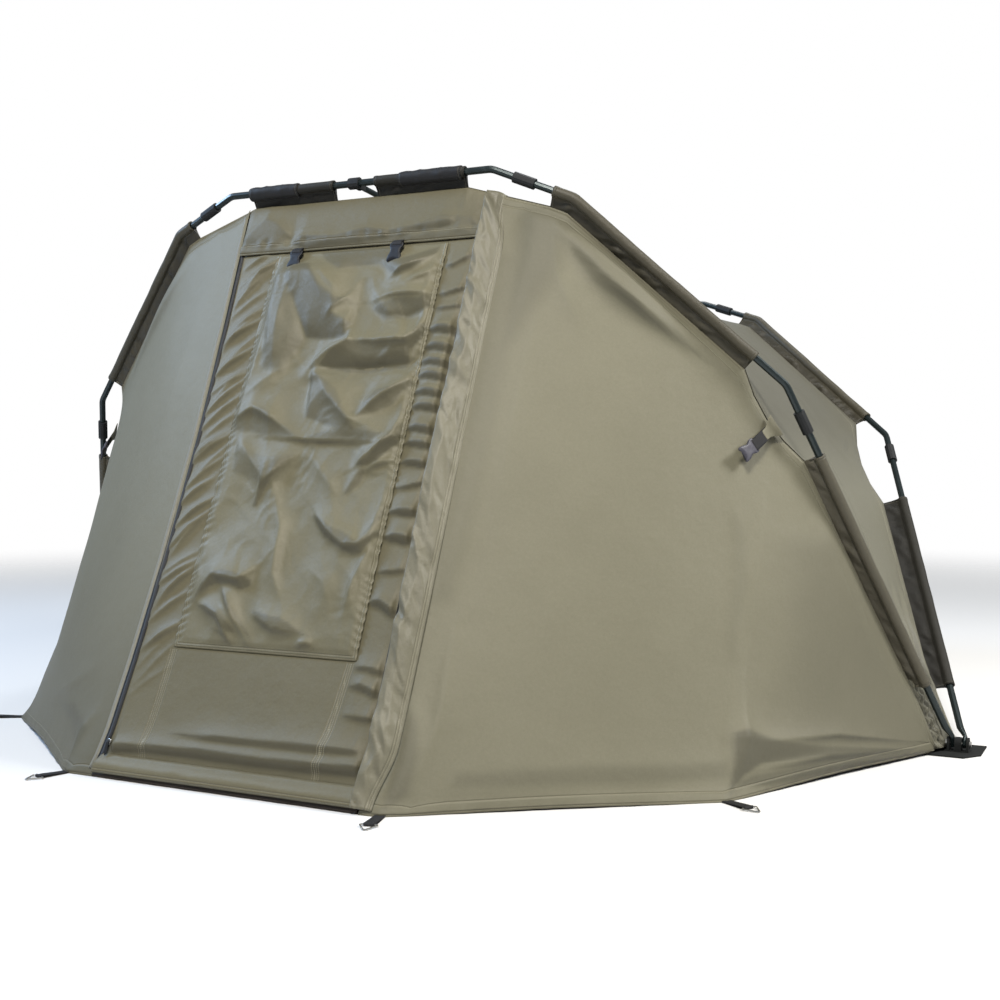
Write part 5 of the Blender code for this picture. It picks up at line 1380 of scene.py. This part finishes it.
def stormFlap():
    # Its sewn edge lies on the panel and its free edge stands off over the zip, by one less a power of the
    # share across. It narrows towards the rib, flares at the foot, curls by a sine and crumples on a slant.
    look = flapLook
    rise = np.linspace(look["low"], look["high"], look["rows"])[:, None]
    share = np.linspace(0, 1, look["columns"])[None]
    narrow = 1 - look["narrowing"] * ease((rise - look["narrowFrom"]) / 0.18)
    flare = look["flare"] * ease((look["flareTop"] - rise) / 0.14)
    left = look["left"] - flare
    x = left + share * (look["right"] - 2.2 * flare - left) * narrow
    lift = look["standOff"] * (1 - share**1.7) * (1 - 0.4 * ease((rise - 1.45) / 0.12)) + look["seamStandOff"]
    curl = look["curl"] * np.sin(rise * 9 + 1) * (1 - share) ** 2
    column = np.argmin(np.abs(rightPanel[len(rightPanel) // 2, :, 0] - look["right"]))
    beside = rightPanel[:, column] - doorFoot
    depth = np.interp(rise[:, 0], beside @ slope, beside @ slopeOut)
    out = lift + curl + share**2 * (np.minimum(depth[:, None], 0) + look["edgeGap"])
    grid = doorSpace(x, rise * np.ones(share.shape), out)
    across, up = runs(grid)
    slant = up + across * look["slant"]
    relief = np.zeros(across.shape)
    for wide, size, seed, height in look["crumples"]:
        relief += crumple(across * wide, slant, size, seed) * height
    for path, upper, lower, height in look["creases"]:
        relief += crease(across, up, path, upper, lower, height)
    relief = relief * ease((1 - share) / 0.25)
    seam = (across[:, -1:] - across, up)
    shade = groundShade(relief, up, look["shade"])
    lay = dict(sewn=seam, shade=shade, held="hung", rests_on=["frontPanelRight"])
    flap = clothPiece("stormFlap", grid, relief, "flap", "front_rib", **lay)
    assign(flap, "storm_flap", frontFold)


stormFlap()
print("storm flap made")

# Roof between the ribs
roofLook = {
    "counts": [26, 20, 6, 52, 6, 6, 6, 6, 52, 16],
    "rows": 101,
    "rounds": 700,
    "slow": (0.35, 0.30, 81, 0.004),
    "crumple": (0.16, 83, 0.0012),
    "pleats": 6,
    "pleatHeight": 0.010,
    "pleatRun": 0.55,
    "stepPitch": 0.034,
    "stepHeight": 0.0065,
    "stepRun": 0.24,
    "shadeSlope": 1.1,
    "shadeStart": 0.62,
    "shadeRun": 0.30,
    "thinnest": 0.0005,
    "keep": 0.096,
}


def bothHalves(half):  # from the left foot over the ridge to the right foot
    return np.concatenate([half[:0:-1] * np.array((-1.0, 1.0, 1.0)), half])


def ribEdge(rib, leg, forward, footSide):  # a seam's whole line, each stretch in its own count of steps
    keys = seamKeys(rib, leg, forward, footSide)
    return bothHalves(pick(keys, np.arange(len(keys)), spread(np.arange(len(keys)), roofLook["counts"])))


def slackness(grid, look):  # a slow noise and a crumple, of the given sizes, seeds and heights
    across, up = runs(grid)
    wide, tall, seed, height = look["slow"]
    relief = noise(across / wide, up / tall, seed) * height
    size, seed, height = look["crumple"]
    return relief + crumple(across, up, size, seed) * height


def taut(low, high, rows, rounds):  # straight lines between two edges, then drawn taut, and each row's share
    share = np.linspace(0, 1, rows)[:, None, None]
    return relax(low * (1 - share) + high * share, rounds), share[..., 0]


def roofPieces():
    # Sine pleats fan in towards each foot, shorter sine steps lie across them near the front leg, and the
    # shade follows the slope of both, with more of it high up
    look = roofLook
    low = ribEdge(frontRib, sleeveRuns["frontLeg"], -seamLook["lap"], -1)
    high = ribEdge(rearRib, sleeveRuns["rearLeg"], seamLook["lap"], 1)
    grid, rows = taut(low, high, look["rows"], look["rounds"])
    across, up = runs(grid)
    height = np.clip(grid[..., 2], 0, 1)
    foot = np.minimum(across, across[:, -1:] - across)
    relief = slackness(grid, look)
    beat = math.tau * up / np.maximum(up[-1:], 0.02) * look["pleats"]
    beat = beat + 2 * noise(foot / 0.12, up / 0.08, 85)
    relief += np.sin(beat) * look["pleatHeight"] * hump(foot, -0.05, look["pleatRun"]) * (1 - height)
    beat = math.tau * foot / look["stepPitch"] + 2 * noise(up / 0.03, foot / 0.2, 87)
    near = ease((look["stepRun"] - foot) / 0.14) * ease((0.6 - rows) / 0.3)
    relief += np.sin(beat) * look["stepHeight"] * near
    relief = relief * ease(rows / 0.05) * ease((1 - rows) / 0.05)
    outer = grid + facing(grid) * relief[..., None]
    steep = np.gradient(relief, axis=0) / np.maximum(np.gradient(up, axis=0), look["thinnest"])
    level = np.gradient(relief, axis=1) / np.maximum(np.gradient(across, axis=1), look["thinnest"])
    shade = np.hypot(steep, level) * look["shadeSlope"] - 0.15
    shade = np.clip(shade + ease((grid[..., 2] - look["shadeStart"]) / look["shadeRun"]), 0, 1)
    middle = look["rows"] // 2
    nearPart, farPart = slice(0, middle + 1), slice(middle, None)
    for name, part, body, rib, joint, sides in (
        ("roofFront", nearPart, "front_rib", frontRib, "fold", ("low", "high")),
        ("roofRear", farPart, "rear_rib", rearRib, "rear_fold", ("high", "low")),
    ):
        pole = body.replace("rib", "top_pole")
        lay = dict(sides=sides, shade=shade[part], held="stretched", rests_on=[pole])
        half = clothPiece(name, outer[part], 0.0, "roof", body, **lay)
        assign(half, "roof_panel", foldOf(rib, joint, look["keep"]))


# Wall behind the rear rib
wallLook = {
    "corners": [(0, 1.3441, 0), (0.470, 1.3441, 0), (1.120, 0.850, 0)],
    "hemArch": 0.018,
    "rows": 120,
    "rounds": 900,
    "slow": (0.33, 0.4, 91, 0.004),
    "crumple": (0.14, 93, 0.0012),
    "keep": 0.061,
    "creases": [  # of one half, in rear view: path, width on either hand, height
        ([(0.5, 0.06), (0.52, 0.45), (0.6, 0.95)], 0.03, 0.03, 0.008),
        ([(1.06, 0.05), (1.1, 0.35), (1.13, 0.62)], 0.03, 0.03, 0.008),
        ([(0.62, 1.1), (0.74, 0.86), (0.92, 0.66)], 0.032, 0.022, 0.01),
        ([(0.56, 1.08), (0.6, 0.8), (0.72, 0.55)], 0.034, 0.028, 0.008),
        ([(0.08, 1.1), (0.16, 0.75), (0.14, 0.4)], 0.05, 0.04, 0.005),
    ],
}


def rearWall():
    # Drawn taut from the pegged hem, which arches up a little between its corners, to the rear rib's seam
    look = wallLook
    high = ribEdge(rearRib, sleeveRuns["rearLeg"], -seamLook["lap"], 1)
    half = len(high) // 2
    counts = roofLook["counts"]
    turns = [0, sum(counts[:3]) / half, sum(counts[:8]) / half, 1]
    at = np.linspace(0, 1, half + 1)
    low = pick([*look["corners"], hemFoot(1)], turns, at)
    for a, b in zip(turns, turns[1:]):
        low[:, 2] += look["hemArch"] * hump(at, a, b)
    grid, rows = taut(bothHalves(low), high, look["rows"], look["rounds"])
    relief = slackness(grid, look)
    for side in (-1, 1):
        for path, upper, lower, height in look["creases"]:
            relief += crease(grid[..., 0] * side, grid[..., 2], path, upper, lower, height)
    relief = relief * ease(rows / 0.04) * ease((1 - rows) / 0.04)
    relief += hemStep(runs(grid)[1], panelLook["hemHeight"], panelLook["hemDepth"])
    lay = dict(sides=("low", "high"), held="stretched", rests_on=["rear_top_pole"])
    wall = clothPiece("rearWall", grid, relief, "khaki", "rear_rib", **lay)
    assign(wall, "rear_panel", foldOf(rearRib, "rear_fold", look["keep"]))


roofPieces()
rearWall()
print("roof and rear wall made")

# Pole sleeves: cloth round the tube, closed to a flat web that carries the shelter
sleeveLook = {
    "radius": 0.0135,
    "bore": 0.0105,
    "step": 0.007,
    "openTurn": 0.20,
    "webPoints": 9,
    "arcPoints": 26,
    "ripple": 0.0085,
    "ripplePitch": 0.030,
    "puff": 0.05,
    "hem": 0.06,
    "hemDepth": 0.010,
    "hemSoft": 0.004,
    "depth": tent["webDepth"],
    "slack": 1.0,
    "taper": 0.0,
    "dark": (1.0, 1.0),  # the web's shade at the upper and the lower end
}
sleeveKinds = {  # where each kind differs
    "frontShoulder": {"finish": "sleeve", "dark": (1.0, 0.2)},
    "frontLeg": {"finish": "legSleeve", "dark": (0.10, 0.25), "slack": 0.6},
    "rearShoulder": {"finish": "sleeve", "dark": (0.8, 0.8)},
    "rearLeg": {"finish": "deepSleeve", "depth": 0.062, "taper": 0.15, "slack": 0.7},
    "frontTop": {"finish": "deepSleeve", "slack": 0.6},
    "rearTop": {"finish": "deepSleeve"},
}


def carried(rib, lengths, inwards, forwards):  # a profile's places in space along a rib
    flat = rib.centre(lengths)[:, None] + rib.inward(lengths)[:, None] * inwards[..., None]
    return rib.space(flat, np.broadcast_to(forwards, flat.shape[:-1]))


def frameName(words):  # frontLegSleeveLeft becomes front_leg_sleeve_left
    return "".join("_" + letter.lower() if letter.isupper() else letter for letter in words)


def sleevePiece(kind, word, rib, start, end, seed):
    # A teardrop carried along the pole: an arc round the tube, two straight sides down to the seam.
    # The web ripples by slanting noise and the tube's cloth puffs out a little away from the seam.
    look = {**sleeveLook, **sleeveKinds[kind]}
    depth, radius, opening = look["depth"], look["radius"], look["openTurn"]
    start, end = sorted((start, end))
    lengths = np.linspace(start, end, int((end - start) / look["step"]) + 2)
    arc = np.linspace(opening, math.tau - opening, look["arcPoints"])
    root = radius * math.cos(opening)
    web = np.linspace(depth, root, look["webPoints"], endpoint=False)
    flank = radius * math.sin(opening) - tent["webHalf"]
    half = tent["webHalf"] + flank * ease((depth - web) / (depth - root))
    inwards = np.concatenate([web, radius * np.cos(arc), web[::-1]])
    forwards = np.concatenate([half, radius * np.sin(arc), -half[::-1]])
    sides = np.clip((inwards - root) / (depth - root), 0, 1)
    at = lengths[:, None]
    inset = np.minimum(at - start, end - at)
    slant = (at + 0.7 * inwards[None]) / look["ripplePitch"]
    ripple = noise(slant, inwards[None] / 0.05 + at / 0.11, seed)
    ripple = ripple + 0.5 * noise(slant * 2.1, at / 0.05, seed + 1)
    ripple = ripple * look["ripple"] * look["slack"] * hump(sides[None], -0.1, 1.0)
    ripple = ripple * ease(inset / 0.02 + 0.25)
    puff = 1 + (look["puff"] * noise(at / 0.05, inwards[None] * 60, seed + 2) + 0.03) * (1 - sides[None])
    hem = 1 + hemStep(inset, look["hem"], look["hemDepth"], look["hemSoft"]) * (sides[None] < 0.01)
    near = np.abs(at)
    share = (near - near.min()) / (near.max() - near.min())
    webReach = root + (inwards - root) * (1 - look["taper"] * share)
    reach = np.where(inwards < root, inwards * puff * hem, webReach)
    outer = carried(rib, lengths, reach, forwards * puff * hem + ripple)
    turn = np.linspace(0, math.tau, len(inwards))
    bore = look["bore"] * np.ones((len(lengths), 1))
    inner = carried(rib, lengths, bore * np.cos(turn), bore * np.sin(turn))
    dark, darkEnd = look["dark"]
    tone = dark + (darkEnd - dark) * ease((share - 0.35) / 0.3)
    body = "front_rib" if rib is frontRib else "rear_rib"
    sleeve = tubePiece(kind + word, outer, inner, look["finish"], body, ease(sides / 0.45) * tone)
    assign(sleeve, frameName(kind + "Sleeve" + word))


def tubePiece(name, outer, inner, finish, body, shade=None):
    # A hollow tube: the outer and inner skins and a ring of faces at each end
    rows, columns = outer.shape[:2]
    count = rows * columns
    skin = gridFaces(rows, columns, wrap=True)
    faces = [skin, skin[:, ::-1] + count]
    for row, turn in ((0, 1), (rows - 1, -1)):
        ring = np.arange(columns) + row * columns
        after = np.roll(ring, -1)
        faces.append(np.stack([ring, ring + count, after + count, after], axis=-1)[:, ::turn])
    across, up = runs(outer)
    ends = np.minimum(up, up[-1:] - up)
    return makePiece(
        name,
        np.concatenate([outer.reshape(-1, 3), inner.reshape(-1, 3)]),
        np.concatenate(faces),
        finish,
        body,
        twice(np.stack([across, up], axis=-1).reshape(-1, 2)),
        twice(ends.ravel()),
        twice(across.ravel()),
        None if shade is None else twice(shade.ravel()),
    )


def allSleeves():  # from bend to bend along both ribs, each with a seed of its own
    seed = 100
    for side, word in ((-1, "Left"), (1, "Right")):
        for label, rib, leg in (("front", frontRib, "frontLeg"), ("rear", rearRib, "rearLeg")):
            start = rib.shoulderBend - sleeveRuns["shoulderBeforeBend"]
            end = rib.hipBend - sleeveRuns["shoulderBeforeHip"]
            seed += 10
            sleevePiece(label + "Shoulder", word, rib, side * start, side * end, seed)
            start, end = (rib.hipBend + length for length in sleeveRuns[leg])
            seed += 10
            sleevePiece(label + "Leg", word, rib, side * start, side * end, seed)
    end = frontRib.ridgeBend - sleeveRuns["topBeforeBend"]
    for side, word in ((-1, "Left"), (1, "Right")):
        sleevePiece("frontTop", word, frontRib, side * sleeveRuns["notch"], side * end, 200 + side)
    end = rearRib.ridgeBend - sleeveRuns["topBeforeBend"]
    sleevePiece("rearTop", "", rearRib, sleeveRuns["rearTopStart"], end, 210)


# Padded black wraps round the outer part of the two top sleeves
wrapLook = {
    "Left": (-0.344, -0.182),
    "Right": (0.144, 0.330),
    "radius": 0.0172,
    "bore": 0.0146,
    "ridges": 3,
    "ridgeHeight": 0.0006,
    "dent": 0.0008,
    "deep": 1.12,
    "shift": 0.0015,
    "rows": 46,
    "points": 40,
}


def poleWraps():
    # A round tube with raised bands, a high power of a cosine, and its ends drawn in
    look = wrapLook
    share = np.linspace(0, 1, look["rows"])[:, None]
    turn = np.linspace(0, math.tau, look["points"], endpoint=False)[None]
    bands = np.maximum(0, np.cos(share * math.tau * look["ridges"])) ** 12 * look["ridgeHeight"]
    radius = look["radius"] + bands + look["dent"] * noise(share * 9, turn * 1.6, 220)
    radius = radius * (0.93 + 0.07 * ease(np.minimum(share, 1 - share) / 0.03))
    bore = look["bore"] * np.ones((look["rows"], 1))
    for word in ("Left", "Right"):
        lengths = np.linspace(*look[word], look["rows"])
        inwards = radius * np.cos(turn) * look["deep"] + look["shift"]
        outer = carried(frontRib, lengths, inwards, radius * np.sin(turn))
        inner = carried(frontRib, lengths, bore * np.cos(turn), bore * np.sin(turn))
        assign(tubePiece("poleWrap" + word, outer, inner, "wrap", "front_rib"))


allSleeves()
poleWraps()
print("sleeves and wraps made")

# Zips, their sliders and the pale binding beside the left one
zipLook = {
    "half": 0.008,
    "thick": 0.0012,
    "standOff": 0.0005,
    "teethHalf": 0.0024,
    "teethHigh": 0.0016,
    "low": 0.031,
    "step": 0.012,
    "bindingHalf": 0.0065,
    "bindingHigh": 0.0036,
    "bindingStandOff": 0.0006,
    "bindingGap": 0.001,
    "bindingEnds": 0.02,
}


def raisedStrip(name, edge, shift, low, high, profile, finish):
    # A closed profile of across and out places, carried up the door's slope along a zip's line
    rise = np.linspace(low, high, int((high - low) / zipLook["step"]) + 2)[:, None]
    across, out = np.array(profile).T[:, None]
    points = doorSpace(zipLine(edge, rise) + shift + across, rise, out)
    rows, columns = points.shape[:2]
    metres = np.stack(np.broadcast_arrays(across, rise), axis=-1)
    inset = np.broadcast_to(np.abs(across).max() - np.abs(across), (rows, columns))
    along = np.broadcast_to(rise, (rows, columns))
    faces, caps = gridFaces(rows, columns, wrap=True), endCaps(rows, columns)
    return makePiece(name, points, faces, finish, "front_rib", metres, inset, along, caps=caps)


def zips():
    # The tape is flat with a raised trapezium of teeth in its middle, the binding half an oval
    look = zipLook
    half, tooth = look["half"], look["teethHalf"]
    low, top = look["standOff"], look["standOff"] + look["thick"]
    right = [(half, top), (tooth * 1.3, top), (tooth, top + look["teethHigh"])]
    profile = [(-half, low), (half, low), *right, *((-across, out) for across, out in right[::-1])]
    for word, node in (("Left", "zip_left"), ("Right", None)):
        ends = (look["low"], doorLook["headerBottom"])
        tape = raisedStrip("zipTape" + word, tent["zip" + word], 0.0, *ends, profile, "zip")
        assign(tape, node, frontFold)
    turn = np.linspace(0, math.pi, 9)
    out = look["bindingStandOff"] + look["bindingHigh"] * np.sin(turn)
    pad = list(zip(look["bindingHalf"] * np.cos(turn), out))
    shift = -half - look["bindingHalf"] - look["bindingGap"]
    ends = (look["bindingEnds"], slopeLength - look["bindingEnds"])
    binding = raisedStrip("zipBindingLeft", tent["zipLeft"], shift, *ends, pad, "binding")
    assign(binding, None, frontFold)


sliderLook = {
    "rise": 0.082,
    "length": 0.014,
    "half": 0.0055,
    "thick": 0.0026,
    "rows": 14,
    "pull": 0.038,
    "pullHalf": 0.0042,
    "pullThick": 0.0015,
    "pullRows": 24,
    "pullArch": 0.002,
    "ringPoints": 20,
    "shellOut": {"left": 0.0052, "right": 0.0040},
    "pullGap": 0.0040,
}


def sliders():
    # Rounded oblongs carried up the slope for the slider's shell, and down it for the pull
    look = sliderLook
    for word, edge in (("left", tent["zipLeft"]), ("right", tent["zipRight"])):
        out = look["shellOut"][word]
        rings = []
        for share in np.linspace(0, 1, look["rows"]):
            half = look["half"] * (0.62 + 0.38 * ease(share / 0.5)) * (1 - 0.75 * ease((share - 0.93) / 0.07))
            thick = look["thick"] * (0.6 + 0.4 * hump(share, -0.3, 1.3))
            across, up = roundedRing(half, thick, 0.5, look["ringPoints"])
            rings.append(doorSpace(edge + across, look["rise"] + share * look["length"], out + up))
        shell = loftPiece("slider" + word.title(), rings, "steel", "slider_" + word)
        assign(shell, "zip_slider_" + word)
        rings = []
        for share in np.linspace(0, 1, look["pullRows"]):
            half = look["pullHalf"] * (0.55 + 0.45 * ease(share / 0.25))
            half = half * (0.2 + 0.8 * ease((1 - share) / 0.12))
            thick = look["pullThick"] * (0.6 + 0.4 * hump(share, -0.2, 1.2))
            across, up = roundedRing(half, thick, 0.6, look["ringPoints"])
            rise = look["rise"] + look["length"] * 0.75 - share * look["pull"]
            lift = look["pullGap"] + look["pullArch"] * hump(share, -0.2, 0.6)
            rings.append(doorSpace(edge + across, rise, out + lift + up))
        pull = loftPiece("pull" + word.title(), rings, "plastic", "slider_" + word)
        assign(pull)


zips()
sliders()
print("zips made")

# Half buckles on webbing
buckleLook = {
    "length": 0.052,
    "half": 0.0205,
    "thick": 0.0046,
    "corner": 0.42,
    "horn": 0.009,
    "dish": 0.0009,
    "dishHalf": 0.0065,
    "barAt": 0.004,
    "barRadius": 0.0019,
    "clearance": 0.001,
    "loopRadius": 0.0036,
    "strapRun": 0.001,
    "leadOut": (0.0016, 0.0012),  # at the base, and past the buckle's middle
    "backOut": (0.0004, -0.0030),
    "strapHalf": 0.0150,
    "strapThick": 0.0015,
    "rows": 34,
    "ringPoints": 36,
    "headerPlaces": {"left": -0.151, "right": 0.167},
    "headerRise": 0.010,
    "headerDrop": 0.018,
    "headerGap": 0.006,
    "headerBase": 0.003,
}


def strapPiece(name, path, across, halfWidth, thick, body, columns=7):
    # A flat strap: a path of places, spread across by the width, with square sides
    path = np.asarray(path, float)
    along = unit(np.gradient(path, axis=0))
    over = unit(np.cross(along, across))
    side = np.linspace(-1, 1, columns)
    top = path[:, None] + side[None, :, None] * across * halfWidth + over[:, None] * thick / 2
    low = path[:, None] + side[None, ::-1, None] * across * halfWidth - over[:, None] * thick / 2
    rings = np.concatenate([top, low], axis=1)
    width = np.concatenate([side, side[::-1]]) * halfWidth
    metres = np.stack(np.broadcast_arrays(width[None], runs(rings)[1]), axis=-1)
    return loftPiece(name, rings, "webbing", body, metres)


def buckle(name, body, node, frameOf, finish, gap, drop):
    # Rounded oblongs carried down the buckle: narrow in its middle, thin at its ends, dished on its face, and
    # with a far end hollowed by the square of the place across. A round bar carries the strap's loop.
    look = buckleLook
    base, across, down, out = (np.array(part, float) for part in frameOf)
    share = np.linspace(0, 1, look["rows"])
    half = look["half"] * (0.96 - 0.26 * hump(share, 0.16, 0.80) + 0.04 * ease((share - 0.75) / 0.15))
    half = half * (1 - 0.16 * ease((share - 0.94) / 0.06)) * (1 - 0.12 * ease((0.05 - share) / 0.05))
    thick = look["thick"] * (0.55 + 0.45 * ease((share - 0.14) / 0.16))
    thick = thick * (1 - 0.35 * ease((share - 0.90) / 0.10))
    middle = gap + look["thick"] + look["clearance"]
    rings = []
    for s, w, t in zip(share, half, thick):
        x, y = roundedRing(w, t, look["corner"], look["ringPoints"])
        dish = look["dish"] * np.exp(-((x / look["dishHalf"]) ** 2)) * hump(s, 0.30, 0.75) * (y > 0)
        horn = look["horn"] * ((x / w) ** 2 - 0.5) * ease((s - 0.6) / 0.4)
        place = base + down * (drop + s * look["length"] + horn[:, None])
        rings.append(place + across * x[:, None] + out * (middle + y - dish)[:, None])
    assign(loftPiece(name, rings, finish, body), node)
    bar = base + down * (drop + look["barAt"])
    turn = np.linspace(0, math.tau, 12, endpoint=False)[:, None]
    ring = out * middle + (down * np.cos(turn) + out * np.sin(turn)) * look["barRadius"]
    rod = [bar + across * s * look["half"] * 0.92 + ring for s in np.linspace(-1, 1, 9)]
    assign(loftPiece(name + "Bar", rod, finish, body))
    turns = np.linspace(0, 1, 16)[:, None]
    run = drop + look["strapRun"]
    (leadLow, leadHigh), (backLow, backHigh) = look["leadOut"], look["backOut"]
    lead = base + down * run * turns + out * (leadLow + (middle + leadHigh) * ease(turns))
    bend = np.linspace(-0.5, 0.5, 9)[:, None] * math.pi
    loop = bar + out * middle + (down * np.cos(bend) - out * np.sin(bend)) * look["loopRadius"]
    back = base + down * run * (1 - turns) + out * (backLow + (middle + backHigh) * ease(1 - turns))
    path = np.concatenate([lead[:-1], loop, back[1:-4]])
    strap = strapPiece(name + "Strap", path, across, look["strapHalf"], look["strapThick"], body)
    assign(strap)


def headerBuckles():  # both hang from the header, down the door's slope
    look = buckleLook
    for word, place in look["headerPlaces"].items():
        base = doorSpace(place, doorLook["headerBottom"] + look["headerRise"], look["headerBase"])
        frameOf = (base, (1, 0, 0), -slope, slopeOut)
        names = ("headerBuckle" + word.title(), "cover_buckle_" + word, "header_buckle_" + word)
        buckle(*names, frameOf, "buckle", look["headerGap"], look["headerDrop"])


flankLook = {
    "inset": 0.030,
    "lean": math.radians(46),
    "hemShare": 0.08 / 0.44,
    "tabHalf": 0.030,
    "tabThick": 0.0013,
    "tabLength": 0.050,
    "tabRows": 16,
    "tabOut": (0.0045, 0.002),  # at its start, and how much further at its end
    "drop": 0.088,
    "gap": 0.004,
    "plainRows": 26,
    "plainOut": 0.009,
    "plainStrap": {"lap": 0.006, "out": 0.006, "rise": 0.003, "thick": 0.0018},
}


def flankFrame(side):
    # Below the middle of the free hip edge: the way down the panel turned forward by the lean, and out of it
    lengths = frontRib.hipBend + np.array((-sleeveRuns["shoulderBeforeHip"], sleeveRuns["frontLeg"][0]))
    ends = frontRib.seam(lengths, tent["webDepth"] + tent["seamAllowance"], tent["seamForward"])
    top, beside = ends.mean(axis=0), ends[1]
    corner = np.array((*panelShape["sideCorner"], 0.0))
    foot = np.array((tent["footHalf"], -tent["footGap"], 0.0))
    bottom = corner + (foot - corner) * flankLook["hemShare"]
    straight = unit(bottom - top)
    out = unit(np.cross(beside - top, straight))
    out = out if out[1] < 0 else -out
    forward = np.cross(out, straight)
    forward = forward if forward[1] < 0 else -forward
    down = straight * math.cos(flankLook["lean"]) + forward * math.sin(flankLook["lean"])
    along = unit(np.cross(down, out))
    base = top + straight * flankLook["inset"]
    flip = np.array((side, 1.0, 1.0))
    return base * flip, along * flip, down * flip, out * flip


def flankTabs():
    # Each tab narrows from the panel to its strap. The right one's buckle follows its joint
    look = flankLook
    for side, word in ((1, "Right"), (-1, "Left")):
        frameOf = flankFrame(side)
        base, along, down, out = frameOf
        rings = []
        for share in np.linspace(0, 1, look["tabRows"]):
            x, y = roundedRing(look["tabHalf"] * (1 - 0.55 * ease(share / 0.8)), look["tabThick"], 0.4, 24)
            lift = look["tabOut"][0] + look["tabOut"][1] * share
            place = base + down * (share * 1.15 - 0.25) * look["tabLength"] + out * lift
            rings.append(place + along * x[:, None] + out * y[:, None])
        assign(loftPiece("flankTab" + word, rings, "khaki", "front_rib"))
        if side > 0:
            names = ("flankBuckle" + word, "guy_buckle", "flank_buckle")
            buckle(*names, frameOf, "greyBuckle", look["gap"], look["drop"])
        else:
            plainBuckle("flankBuckle" + word, frameOf)


def plainBuckle(name, frameOf):  # the far flank's buckle, of which little is seen: the oblongs and a strap
    look = buckleLook
    base, across, down, out = frameOf
    drop = flankLook["drop"]
    rings = []
    for share in np.linspace(0, 1, flankLook["plainRows"]):
        half = look["half"] * (0.96 - 0.26 * hump(share, 0.16, 0.80))
        thick = look["thick"] * (0.6 + 0.4 * hump(share, -0.2, 1.1))
        x, y = roundedRing(half, thick, look["corner"], look["ringPoints"])
        place = base + down * (drop + share * look["length"])
        rings.append(place + across * x[:, None] + out * (flankLook["plainOut"] + y)[:, None])
    assign(loftPiece(name, rings, "greyBuckle", "front_rib"))
    turns = np.linspace(0, 1, 10)[:, None]
    lay = flankLook["plainStrap"]
    path = base + down * (drop + lay["lap"]) * turns + out * (lay["out"] + lay["rise"] * ease(turns))
    assign(strapPiece(name + "Strap", path, across, look["strapHalf"], lay["thick"], "front_rib"))


headerBuckles()
flankTabs()
print("buckles made")

# Pegging straps at the hem corners
pegLook = {
    "length": 0.070,
    "half": 0.0125,
    "thick": 0.0015,
    "wire": 0.0020,
    "wireGap": 0.0005,
    "eye": 0.0041,
    "tail": 0.018,
    "eyeGap": 0.004,
    "ground": 0.0002,
    "layerGap": 0.0008,
    "rise": 0.003,
    "away": {"front": (0.25, -0.97), "side": (0.85, -0.53)},
}


def pegStraps():
    # Out along the ground, half a turn round the ring's wire, and back over itself
    look = pegLook
    up = np.array((0, 0, 1.0))
    reach = np.linspace(-look["tail"], look["length"] - look["eyeGap"], 14)[:, None]
    turn = np.linspace(-0.5, 0.5, 9)[:, None] * math.pi
    radius = look["wire"] + look["wireGap"] + look["thick"] / 2
    for place, corner in (("front", panelShape["frontCorner"]), ("side", panelShape["sideCorner"])):
        for side, word in ((-1, "left"), (1, "right")):
            ahead = unit(np.array((look["away"][place][0] * side, look["away"][place][1], 0.0)))
            across = np.array((-ahead[1], ahead[0], 0.0))
            base = np.array((corner[0] * side, corner[1], 0.0))
            under = base + ahead * reach + up * (look["thick"] / 2 + look["ground"])
            eye = base + ahead * look["length"] + up * look["eye"]
            loop = eye + ahead * np.cos(turn) * radius + up * np.sin(turn) * radius
            lift = look["thick"] * 1.5 + look["layerGap"] + look["rise"] * ease(reach[::-1] / look["length"])
            path = np.concatenate([under, loop, base + ahead * reach[::-1] + up * lift])
            name = f"{place}PegStrap{word.title()}"
            strap = strapPiece(name, path, across, look["half"], look["thick"], place + "_corners")
            assign(strap, f"{place}_peg_strap_{word}")


pegStraps()
print("pegging straps made")

# Finishes for the frame's own rigid pieces
frameFinishes = {
    "pole": "pole",
    "tension_bar": "pole",
    "collar": "plastic",
    "knuckle": "plastic",
    "bracket": "groundPlate",
    "bolt": "steel",
    "ring": "steel",
}
for name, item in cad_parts.items():
    if item.hide_render:
        continue
    for word, finish in frameFinishes.items():
        if word in name:
            item.data.materials.clear()
            item.data.materials.append(finishes[finish])
print("frame finished")
